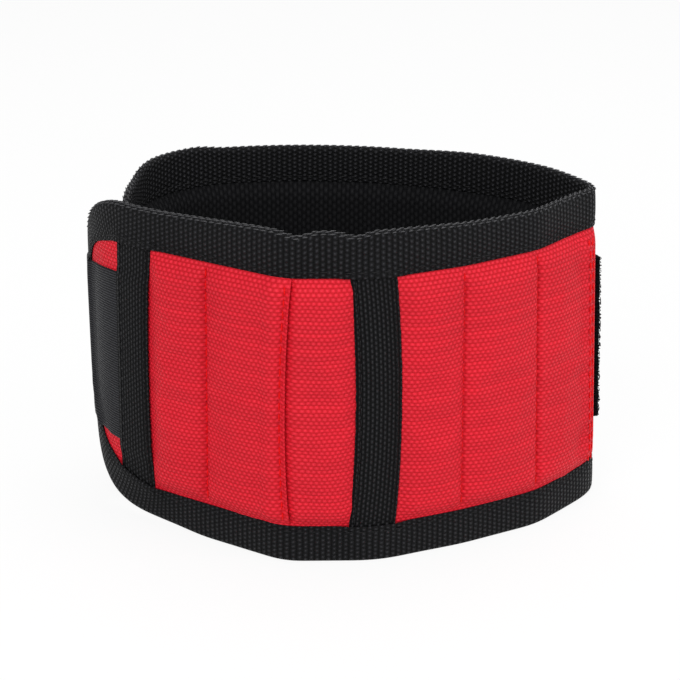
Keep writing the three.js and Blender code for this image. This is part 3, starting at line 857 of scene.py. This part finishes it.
# The strap's route, tip first: along the patch, round the corner and along the flap
strap_route = []
for step in range(REST_STEPS):
    strap_route.append(strap_point(PATCH_TO - STRAP_REST * (1.0 - step / REST_STEPS), STRAP_ON_PATCH))
strap_route += geometry.interpolate_bezier(
    strap_point(PATCH_TO, STRAP_ON_PATCH), strap_handle(PATCH_TO, STRAP_ON_PATCH, STRAP_SLACK),
    strap_handle(STRAP_HINGE, STRAP_ON_TAPE, -STRAP_TURN_IN), strap_point(STRAP_HINGE, STRAP_ON_TAPE),
    CORNER_STEPS)
for step in range(1, FLAP_STEPS + 1):
    along = STRAP_HINGE + (STRAP_ROOT - STRAP_HINGE) * step / FLAP_STEPS
    strap_route.append(strap_point(along, flap_level(along)))
strap_reached = [0.0]
for before, after in zip(strap_route, strap_route[1:]):
    strap_reached.append(strap_reached[-1] + (after.xy - before.xy).length)
strap_length = strap_reached[-1]
strap_turn_at = strap_reached[-1 - FLAP_STEPS]
flap_scale = (STRAP_ROOT - STRAP_HINGE) / (strap_length - strap_turn_at)


def strap_between(along):
    step = min(max(bisect.bisect_right(strap_reached, along) - 1, 0), len(strap_route) - 2)
    share = (along - strap_reached[step]) / (strap_reached[step + 1] - strap_reached[step])
    return strap_route[step].lerp(strap_route[step + 1], share)


SMOOTHING_REACH = 0.0015


def strap_rail(along):
    point = strap_between(along)
    ahead = strap_between(along + SMOOTHING_REACH) - strap_between(along - SMOOTHING_REACH)
    return point.xy, math.atan2(ahead.y, ahead.x), point.z


def strap_low(along):
    return STRAP_LOW + corner_rise(along, STRAP_TIP_RADIUS, 0.0)


def strap_high(along):
    return BAND_HEIGHT - strap_low(along)


# The gap colour is painted shade between the ribs of the strap
strap_rib = woven_finish(
    "strap_rib", shaded_gap=(0.0008, 0.0008, 0.0012), crown=(0.034, 0.034, 0.040), threads=(0.0011, 0.0007),
    ribs_up=False, narrow=1.6, knuckle=0.2, depth=0.0004, rough=(0.6, 0.35), specular=0.10, wander=0.0003)
strap_cut = cut_cloth(0.0, strap_length, strap_low, strap_high, STRAP_PITCH, row_pitch=STRAP_ROW_PITCH)
for vert in strap_cut.verts:
    on_flap = STRAP_HINGE + (vert.co.x - strap_turn_at) * flap_scale
    gather = STRAP_GATHER * (1.0 - smooth(abs(on_flap - STRAP_GATHER_AT), 0.0, STRAP_GATHER_RUN))
    vert.co.y -= gather * (vert.co.y - BAND_HEIGHT / 2)
    vert.co.y += STRAP_RISE * smooth(on_flap, -STRAP_RISE_RUN, 0.0)
    over_tape = flap_level(on_flap, vert.co.y) - flap_level(on_flap)
    past_tape = on_flap - tape_inner_edge(vert.co.y)
    ridge = STRAP_RIDGE * (1.0 - smooth(abs(past_tape), 0.0, STRAP_RIDGE_RUN))
    groove = STRAP_GROOVE * (1.0 - smooth(abs(past_tape - STRAP_GROOVE_AT), 0.0, STRAP_RIDGE_RUN))
    vert.co.z = STRAP_THICKNESS / 2 + over_tape + ridge - groove
wrap(strap_cut, strap_rail)
strap = make_piece("closing_strap", strap_cut, strap_rib, STRAP_THICKNESS, smoothing=1)
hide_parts("strap_tape", "strap_anchor")
strap_turn = lay(band_rail, STRAP_HINGE, BAND_HEIGHT / 2, STRAP_ON_TAPE)
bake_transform(strap)

# Hook field
# The stiff half of the fastener, on the strap's inner face: a thin nylon tape with rows of small
# hooks that catch the loops of the patch.
HOOK_MARGIN = 0.0015
HOOK_TAPE_THICKNESS = 0.0003
HOOK_TAPE_LEVEL = -0.0004
HOOK_FOOT = -0.0005
HOOK_RADIUS = 0.00022
HOOK_THREAD = 0.00009
HOOK_SIDES = 4
HOOK_TURN = 250.0
HOOK_STEPS = 5
HOOK_COLUMNS = 34
HOOK_ROWS = 28
HOOK_TIP_CLEAR = 0.009

hook_nylon = grained_finish(
    "hook_nylon", dark=(0.006, 0.006, 0.007), light=(0.012, 0.012, 0.013), scale=500.0, detail=2.0,
    depth=0.00003, rough=(0.5, 0.35), specular=0.4)


def hook_low(along):
    return STRAP_LOW + corner_rise(along, STRAP_TIP_RADIUS, HOOK_MARGIN)


def hook_high(along):
    return BAND_HEIGHT - hook_low(along)


hook_base = cut_cloth(HOOK_MARGIN, STRAP_REST, hook_low, hook_high, STRAP_PITCH)
for vert in hook_base.verts:
    vert.co.z = HOOK_TAPE_LEVEL
wrap(hook_base, strap_rail)
hook_tape = make_piece("hook_tape", hook_base, hook_nylon, HOOK_TAPE_THICKNESS)
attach(hook_tape, "strap")
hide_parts("hook_field")

hook_step = (STRAP_REST - HOOK_TIP_CLEAR) / HOOK_COLUMNS
hook_rise = (STRAP_WIDTH - 4 * HOOK_MARGIN) / HOOK_ROWS
hooks = bmesh.new()
stem = bmesh.ops.create_circle(hooks, cap_ends=True, segments=HOOK_SIDES, radius=HOOK_THREAD)
bmesh.ops.translate(hooks, verts=stem["verts"], vec=(HOOK_RADIUS, 0.0, 0.0))
bmesh.ops.spin(hooks, geom=whole(hooks), cent=(0, 0, 0), axis=(0, 1, 0), angle=math.radians(HOOK_TURN),
               steps=HOOK_STEPS)
bmesh.ops.recalc_face_normals(hooks, faces=hooks.faces[:])
# A hook is too small for that to find its outside, so its volume tells
if hooks.calc_volume(signed=True) < 0.0:
    bmesh.ops.reverse_faces(hooks, faces=hooks.faces[:])
first_hook = Vector((HOOK_TIP_CLEAR + hook_step / 2, STRAP_LOW + 2 * HOOK_MARGIN + hook_rise / 2, HOOK_FOOT))
bmesh.ops.translate(hooks, verts=hooks.verts[:], vec=first_hook)
repeat_across(hooks, whole(hooks), HOOK_ROWS, Vector((0.0, hook_rise, 0.0)))
repeat_across(hooks, whole(hooks), HOOK_COLUMNS, Vector((hook_step, 0.0, 0.0)))
wrap(hooks, strap_rail)
hook_rows = make_piece("hook_rows", hooks, hook_nylon)
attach(hook_rows, "strap")

# Webbing strips
# Two flat black woven strips over seams of the panel, sewn down along both sides with their ends
# under the edge tape. The one at the end also holds the strap, and climbs over it.
STRIP_THICKNESS = 0.0007
STRIP_LEVEL = 0.00095
STRIP_TUCK = 0.0024
STRIP_TUCK_DROP = 0.0001
STRIP_CLIMB = 0.0032
STRIP_OVER_STRAP = 0.00055
STRIP_PITCH = 0.001
STRIP_NICK = 0.0003             # unevenness of its sides
STRIP_NICK_SCALE = 900.0
STRIP_NICK_LOT = 7.3
STRIP_CROWN = 0.00025
STRIP_CROWN_RUN = STRIP_WIDTH / 3
STRAP_SEAM, MIDDLE_SEAM = STRIP_SEAMS
STRIP_END_SHIFTS = {0: 0.0, 3: -0.0013}     # where a strip's ends lie, along the band from its seam
STRIP_BOWS = {0: -0.001, 3: 0.0016}         # how far its middle lies from its ends

# The gap colour is painted shade between the threads of the webbing
webbing = woven_finish(
    "webbing", shaded_gap=(0.0006, 0.0006, 0.0007), crown=(0.030, 0.030, 0.033), threads=(0.00106, 0.00072),
    ribs_up=True, narrow=2.0, knuckle=0.9, depth=0.0006, rough=(0.7, 0.3), specular=0.08, wander=0.0003)


def strip_shift(seam, along, up):
    """Bow of a strip along the band. The strap holds one side of the strip over it straight."""
    bow = STRIP_BOWS[seam] * max(1.0 - from_middle(up) ** 2, 0.0)
    if seam == STRAP_SEAM:
        bow *= smooth(along - seam_at(seam), -STRIP_WIDTH / 2, STRIP_WIDTH / 2)
    return STRIP_END_SHIFTS[seam] + bow


def strip_low(along):
    return corner_rise(along, OUTER_BOTTOM_RADIUS, TAPE_REACH - STRIP_TUCK)


def strip_high(along):
    return BAND_HEIGHT - corner_rise(along, OUTER_TOP_RADIUS, TAPE_REACH - STRIP_TUCK)


def over_strap(up):
    """Share of its climb over the strap that a strip has at a height."""
    beyond_strap = max(STRAP_LOW - up, up - BAND_HEIGHT + STRAP_LOW)
    return 1.0 - smooth(beyond_strap, 0.0, STRIP_CLIMB)


def lay_strip(name, seam, climb):
    start = seam_at(seam) - STRIP_WIDTH / 2
    end = seam_at(seam) + STRIP_WIDTH / 2
    bm = cut_cloth(start, end, strip_low, strip_high, STRIP_PITCH)
    for vert in bm.verts:
        along, up = vert.co.xy
        from_tape = min(up - strip_low(along), strip_high(along) - up) - STRIP_TUCK
        from_side = min(along - start, end - along)
        crown = STRIP_CROWN * ease(from_side, STRIP_CROWN_RUN)
        tuck = STRIP_TUCK_DROP * (1.0 - smooth(from_tape, 0.0, STRIP_TUCK))
        vert.co.z = STRIP_LEVEL + climb * over_strap(up) + crown - STRIP_CROWN - tuck
        side = math.copysign(1.0, along - seam_at(seam)) * smooth(STRIP_PITCH - from_side, 0.0, STRIP_PITCH)
        nick = noise.noise(Vector((seam * STRIP_NICK_LOT, up * STRIP_NICK_SCALE, side)))
        vert.co.x += side * STRIP_NICK * nick
        vert.co.x += strip_shift(seam, along, up)
    wrap(bm)
    piece = make_piece(name, bm, webbing, STRIP_THICKNESS, smoothing=1)
    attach(piece, "front")
    return piece


middle_strip = lay_strip("middle_strip", MIDDLE_SEAM, 0.0)
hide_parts("centre_strip")
strap_strip = lay_strip("strap_strip", STRAP_SEAM, STRIP_OVER_STRAP)
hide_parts("end_strip")

# Edge tape
# Black woven tape, folded over the cut edges of cover and lining and sewn through both its legs.
# One length runs along both edges of the panel and round the outer end, another round the inner end.
TAPE_THICKNESS = 0.0005
TAPE_MIDDLE = -0.0001
FOLD_RADIUS = 0.00095
FOLD_SETTLE = 0.0001            # the fold's crest is drawn in by its smoothing
FOLD_CENTRE = FOLD_RADIUS + TAPE_THICKNESS / 2 - FOLD_SETTLE
FOLD_QUARTER = FOLD_RADIUS * math.pi / 2
TAPE_HALF_WIDTH = FOLD_QUARTER + TAPE_REACH - FOLD_CENTRE
TAPE_PITCH = 0.002
TAPE_ROW_PITCH = 0.0007
TAPE_BULGE = 0.0001
TAPE_PRESS = 0.00012
TAPE_LIFT = 0.0007
TAPE_LIFT_RUN = 0.0025
QUARTER_TURN = -90.0
NARROWING_FROM = 0.3            # sine of the edge's slope from which an end draws the tape in
STITCH_FROM_EDGE = 0.0016       # from the tape's edge to its line of stitches

# The gap colour is painted shade between the threads of the tape
edge_weave = woven_finish(
    "edge_weave", shaded_gap=(0.0006, 0.0006, 0.0007), crown=(0.032, 0.032, 0.036), threads=(0.00148, 0.00061),
    ribs_up=True, narrow=2.0, knuckle=0.9, depth=0.0008, rough=(0.7, 0.28), specular=0.1, wander=0.0003)


def tape_section(across):
    """Across the folded tape: level out from the wrist, and distance in from the band's edge."""
    past_fold = abs(across) - FOLD_QUARTER
    if past_fold <= 0:
        angle = across / FOLD_RADIUS
        return TAPE_MIDDLE + FOLD_RADIUS * math.sin(angle), FOLD_CENTRE - FOLD_RADIUS * math.cos(angle)
    leg = TAPE_HALF_WIDTH - FOLD_QUARTER
    bulge = TAPE_BULGE * math.sin(math.pi * past_fold / leg)
    pressed = TAPE_PRESS * (1.0 - smooth(abs(leg - past_fold - STITCH_FROM_EDGE), 0.0, STITCH_FROM_EDGE))
    return TAPE_MIDDLE + math.copysign(FOLD_RADIUS + bulge - pressed, across), FOLD_CENTRE + past_fold


def edge_route(start, end_at, top_radius, bottom_radius):
    """The band's edge as runs: along the top to an end, round it, and back along the bottom. Gives
    the way to that end along the band, the runs, each a length and a turn, and their whole length."""
    ahead = math.copysign(1.0, end_at - start)
    top = abs(end_at - start) - top_radius
    bottom = abs(end_at - start) - bottom_radius
    side = BAND_HEIGHT - top_radius - bottom_radius
    runs = [(top, 0.0), (top_radius * math.pi / 2, QUARTER_TURN), (side, 0.0),
            (bottom_radius * math.pi / 2, QUARTER_TURN), (bottom, 0.0)]
    return ahead, runs, sum(length for length, turn in runs)


def edge_at(start, ahead, runs, distance):
    """Place on the edge after a distance, and the way from there into the band."""
    place = Vector((0.0, BAND_HEIGHT))
    heading = 0.0
    for length, turn in runs:
        step = min(distance, length)
        place, heading = follow(place, heading, math.radians(turn) / length, step)
        distance -= step
        if distance <= 0:
            break
    inward = Vector((ahead * math.sin(heading), -math.cos(heading)))
    return Vector((start + ahead * place.x, place.y)), inward


def lift_over_strips(along, inset):
    """The tape's outer leg rides up over the tucked ends of the strips."""
    from_strips = [abs(along - seam_at(seam) - STRIP_END_SHIFTS[seam]) for seam in STRIP_SEAMS]
    beside = min(from_strips) - STRIP_WIDTH / 2
    return TAPE_LIFT * (1.0 - smooth(beside, 0.0, TAPE_LIFT_RUN)) * smooth(inset, TAPE_REACH / 2, TAPE_REACH)


def rim_shift(along, up):
    """Sag of the panel's upper rim and draw of its lower one, dying out along the tape's leg."""
    lower = corner_draw(along) * (1.0 - smooth(up, 0.0, TAPE_REACH))
    return rim_sag(along) * smooth(up, BAND_HEIGHT - TAPE_REACH, BAND_HEIGHT) - lower


def leg_share(inward):
    """Share of the outer leg's width that is left where the tape is drawn round an end."""
    return 1.0 - END_NARROWING * smooth(abs(inward.x), NARROWING_FROM, 1.0)


def bind_edge(name, start, end_at, top_radius, bottom_radius):
    ahead, runs, length = edge_route(start, end_at, top_radius, bottom_radius)
    bm = cut_cloth(0.0, length, straight(-TAPE_HALF_WIDTH), straight(TAPE_HALF_WIDTH), TAPE_PITCH,
                   row_pitch=TAPE_ROW_PITCH)
    for vert in bm.verts:
        out, inset = tape_section(vert.co.y)
        place, inward = edge_at(start, ahead, runs, vert.co.x)
        outer = out > TAPE_MIDDLE
        place += inward * inset * (leg_share(inward) if outer else 1.0)
        if outer:
            out += lift_over_strips(place.x, inset)
        vert.co = lay(band_rail, place.x, place.y - rim_shift(place.x, place.y), out)
    piece = make_piece(name, bm, edge_weave, TAPE_THICKNESS, smoothing=1)
    return piece


panel_tape = bind_edge("panel_edge_tape", panel_end, 0.0, OUTER_TOP_RADIUS, OUTER_BOTTOM_RADIUS)
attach(panel_tape, "front")
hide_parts("front_binding")
tail_tape = bind_edge("tail_edge_tape", tail_start, band_length, INNER_RADIUS, INNER_RADIUS)
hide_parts("back_binding")
bend_at_fold(tail_tape)

# Stitching
# Lockstitched polyester thread: red through the seams of the pockets, black along the strips, round
# the patch and through both legs of the edge tape.
STITCH_PITCH = 0.0031
STITCH_SIZE = (0.0028, 0.0005, 0.0005)
SEAM_STITCH_LIFT = 0.0002


def thread_finish(name, dark, light, specular=0.15):
    return grained_finish(name, dark, light, scale=1500.0, detail=2.0, depth=0.00004, rough=(0.6, 0.4),
                          specular=specular)


red_thread = thread_finish("red_thread", dark=(0.60, 0.001, 0.002), light=(0.85, 0.004, 0.006))
black_thread = thread_finish("black_thread", dark=(0.001, 0.001, 0.0012), light=(0.006, 0.006, 0.007))


def stitch(bm, along, up, out, direction, size=STITCH_SIZE, slant=0.0):
    turned = Matrix.Rotation(direction, 4, "Z") @ Matrix.Rotation(slant, 4, "Y")
    form = Matrix.Diagonal((size[0] / 2, size[1] / 2, size[2] / 2, 1.0))
    place = Matrix.Translation((along, up, out))
    bmesh.ops.create_icosphere(bm, subdivisions=1, radius=1.0, matrix=place @ turned @ form)


def unmoved(along, up):
    return 0.0


def sew_line(bm, start, end, level, shift=unmoved):
    """Stitches from one pattern point to another, at a level and with a shift that depend on the place."""
    run = end - start
    count = round(run.length / STITCH_PITCH)
    for number in range(count):
        along, up = start + run * ((number + 0.5) / count)
        stitch(bm, along + shift(along, up), up, level(along, up), math.atan2(run.y, run.x))


def sew_edge(bm, start, end_at, top_radius, bottom_radius):
    """Stitches round the band through both legs of the edge tape."""
    ahead, runs, length = edge_route(start, end_at, top_radius, bottom_radius)
    count = round(length / STITCH_PITCH)
    inset = TAPE_REACH - STITCH_FROM_EDGE
    level = FOLD_RADIUS + TAPE_THICKNESS / 2 - TAPE_PRESS
    for number in range(count):
        edge, inward = edge_at(start, ahead, runs, length * (number + 0.5) / count)
        direction = math.atan2(inward.x, -inward.y)
        for side, share in ((1.0, leg_share(inward)), (-1.0, 1.0)):
            place = edge + inward * inset * share
            lift = lift_over_strips(place.x, inset) if side > 0 else 0.0
            up = place.y - rim_shift(place.x, place.y)
            stitch(bm, place.x, up, TAPE_MIDDLE + side * level + lift, direction)


def cover_top(along, up):
    rise = pocket_rise(along, up) + lap_rise(along, up) + SEAM_STITCH_LIFT
    return COVER_LEVEL + COVER_THICKNESS / 2 + rise


SEAM_END_CLEAR = 0.001
SEAM_LOW = POCKET_FROM_EDGE + SEAM_END_CLEAR
# Lines of stitches at each seam, by their distance from it along the band
SEAM_LINES = {1: (0.0,), 2: (-0.0001,), 4: (0.0,), 5: (0.0,), 6: (-0.0030, -0.0012)}
seams = bmesh.new()
for seam, lines in SEAM_LINES.items():
    for line in lines:
        along = seam_at(seam) + line
        low = Vector((along, SEAM_LOW))
        high = Vector((along, BAND_HEIGHT - SEAM_LOW))
        sew_line(seams, low, high, cover_top, seam_bow)
wrap(seams)
seam_stitches = make_piece("seam_stitches", seams, red_thread)
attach(seam_stitches, "front")

STRIP_STITCH_INSET = 0.0014
panel_sewing = bmesh.new()


def strip_top(along, up):
    climb = STRIP_OVER_STRAP if along < pockets[0][0] else 0.0
    return STRIP_LEVEL + STRIP_THICKNESS / 2 - STRIP_CROWN / 2 + climb * over_strap(up)


for seam in STRIP_SEAMS:
    for side in (-1, 1):
        along = seam_at(seam) + side * (STRIP_WIDTH / 2 - STRIP_STITCH_INSET)
        low = Vector((along, strip_low(along) + STRIP_TUCK))
        high = Vector((along, strip_high(along) - STRIP_TUCK))
        sew_line(panel_sewing, low, high, strip_top, lambda along, up: strip_shift(seam, along, up))
sew_edge(panel_sewing, fold_middle, 0.0, OUTER_TOP_RADIUS, OUTER_BOTTOM_RADIUS)
wrap(panel_sewing)
panel_stitches = make_piece("panel_stitches", panel_sewing, black_thread)
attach(panel_stitches, "front")

# Coarse threads of the tape's weave, which stand up along its fold in lines a half step apart
FLOAT_PITCH = 0.0022
FLOAT_SIZE = (0.0021, 0.0004, 0.0004)
FLOAT_SLANT = 0.3
FLOAT_CHANCE = (0.71, 3.3)      # steps in the noise from thread to thread and from line to line
FLOAT_CHANCE_LOT = 0.4
FLOAT_ANGLES = (-0.3, 0.35, 0.95)
FLOAT_FIRST = 0.25              # place of a line's first thread, and shift of every other line, in steps
FLOAT_STAGGER = 0.5
FLOAT_SUNK = 0.00005
FLOAT_LEVEL = FOLD_RADIUS + TAPE_THICKNESS / 2 - FLOAT_SUNK
FLOATS_FROM = 0.076             # they stand up along the upper rim alone
crest_thread = thread_finish("crest_thread", dark=(0.002, 0.002, 0.003), light=(0.036, 0.036, 0.04),
                             specular=0.4)


def raise_floats(name, start, end_at, top_radius, bottom_radius):
    ahead, runs, length = edge_route(start, end_at, top_radius, bottom_radius)
    count = round(length / FLOAT_PITCH)
    bm = bmesh.new()
    for line, angle in enumerate(FLOAT_ANGLES):
        out = TAPE_MIDDLE + FLOAT_LEVEL * math.sin(angle)
        inset = FOLD_CENTRE - FLOAT_LEVEL * math.cos(angle)
        for number in range(count):
            reached = (number + FLOAT_FIRST + FLOAT_STAGGER * (line % 2)) / count
            place, inward = edge_at(start, ahead, runs, length * reached)
            place += inward * inset
            up = place.y - rim_shift(place.x, place.y)
            lot = Vector((number * FLOAT_CHANCE[0], line * FLOAT_CHANCE[1], FLOAT_CHANCE_LOT))
            slant = FLOAT_SLANT * (1.0 + noise.noise(lot))
            if up > FLOATS_FROM:
                stitch(bm, place.x, up, out, math.atan2(inward.x, -inward.y), FLOAT_SIZE, slant)
    wrap(bm)
    piece = make_piece(name, bm, crest_thread)
    return piece


panel_floats = raise_floats("panel_crest_threads", fold_middle, 0.0, OUTER_TOP_RADIUS, OUTER_BOTTOM_RADIUS)
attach(panel_floats, "front")
tail_floats = raise_floats("tail_crest_threads", fold_middle, band_length, INNER_RADIUS, INNER_RADIUS)
bend_at_fold(tail_floats)

PATCH_STITCH_INSET = 0.0015
tail_sewing = bmesh.new()
sew_edge(tail_sewing, fold_middle, band_length, INNER_RADIUS, INNER_RADIUS)
sewn_low = PATCH_LOW + PATCH_STITCH_INSET
sewn_high = BAND_HEIGHT - sewn_low
sewn_from = PATCH_FROM + PATCH_STITCH_INSET
sewn_to = PATCH_TO - PATCH_STITCH_INSET
patch_corners = [Vector((sewn_from, sewn_low)), Vector((sewn_to, sewn_low)),
                 Vector((sewn_to, sewn_high)), Vector((sewn_from, sewn_high))]
for start, end in zip(patch_corners, patch_corners[1:] + patch_corners[:1]):
    sew_line(tail_sewing, start, end, lambda along, up: PATCH_LEVEL + PATCH_THICKNESS / 2)
wrap(tail_sewing)
tail_stitches = make_piece("tail_stitches", tail_sewing, black_thread)
bend_at_fold(tail_stitches)

# Studio
# A white floor and surround, a broad lamp over the front, weaker ones at the right and above, and the
# camera where the photograph was taken from.
WHITE = (1.0, 1.0, 1.0, 1.0)
FLOOR_COLOUR = (0.85, 0.85, 0.85, 1.0)
FLOOR_SIZE = 3.0
FLOOR_WHITE_SHARE = 0.9
SURROUND_LIGHT = 0.30


def seen_rays(tree):
    """1 where the camera looks, straight or by way of a shine or a clear piece, and 0 for light."""
    rays = tree.nodes.new("ShaderNodeLightPath").outputs
    seen = math_node(tree, "MAXIMUM", rays["Is Camera Ray"], rays["Is Glossy Ray"])
    return math_node(tree, "MAXIMUM", seen, rays["Is Transmission Ray"])


floor_finish = bpy.data.materials.new("white_floor")
floor_finish.use_nodes = True
tree = floor_finish.node_tree
tree.nodes.clear()
matt = tree.nodes.new("ShaderNodeBsdfDiffuse")
matt.inputs["Color"].default_value = FLOOR_COLOUR
glow = tree.nodes.new("ShaderNodeEmission")
mix = tree.nodes.new("ShaderNodeMixShader")
tree.links.new(math_node(tree, "MULTIPLY", seen_rays(tree), FLOOR_WHITE_SHARE), mix.inputs[0])
tree.links.new(matt.outputs[0], mix.inputs[1])
tree.links.new(glow.outputs[0], mix.inputs[2])
output = tree.nodes.new("ShaderNodeOutputMaterial")
tree.links.new(mix.outputs[0], output.inputs["Surface"])
floor_bm = bmesh.new()
bmesh.ops.create_grid(floor_bm, x_segments=1, y_segments=1, size=FLOOR_SIZE)
floor = make_piece("floor", floor_bm, floor_finish)

world = bpy.data.worlds.new("white_surround")
world.use_nodes = True
tree = world.node_tree
surround = tree.nodes["Background"]
surround.inputs["Color"].default_value = WHITE
tree.links.new(span(tree, seen_rays(tree), SURROUND_LIGHT, 1.0), surround.inputs["Strength"])
bpy.context.scene.world = world


def softbox(name, place, size, power):
    lamp = bpy.data.lights.new(name, "AREA")
    lamp.size = size
    lamp.energy = power
    holder = bpy.data.objects.new(name, lamp)
    holder.location = place
    aim = Vector((0.0, 0.0, BAND_HEIGHT / 2)) - Vector(place)
    holder.rotation_euler = aim.to_track_quat("-Z", "Y").to_euler()
    bpy.context.scene.collection.objects.link(holder)


softbox("front_lamp", place=(-0.35, -0.9, 0.75), size=0.8, power=9.0)
softbox("right_lamp", place=(0.9, -0.35, 0.5), size=0.6, power=4.0)
softbox("top_lamp", place=(0.05, 0.25, 1.0), size=0.7, power=6.0)

CAMERA_PLACE = (-0.00075, -0.45579, 0.22843)
CAMERA_PITCH = 22.0
CAMERA_ROLL = 0.28
LENS_LENGTH = 95.1
SENSOR_WIDTH = 36.0
lens = bpy.data.cameras.new("camera")
lens.lens = LENS_LENGTH
lens.sensor_width = SENSOR_WIDTH
camera = bpy.data.objects.new("camera", lens)
camera.location = CAMERA_PLACE
pitched = Matrix.Rotation(math.radians(90.0 - CAMERA_PITCH), 4, "X")
rolled = Matrix.Rotation(math.radians(CAMERA_ROLL), 4, "Z")
camera.rotation_euler = (pitched @ rolled).to_euler()
bpy.context.scene.collection.objects.link(camera)
bpy.context.scene.camera = camera
bpy.context.scene.view_settings.view_transform = "Standard"
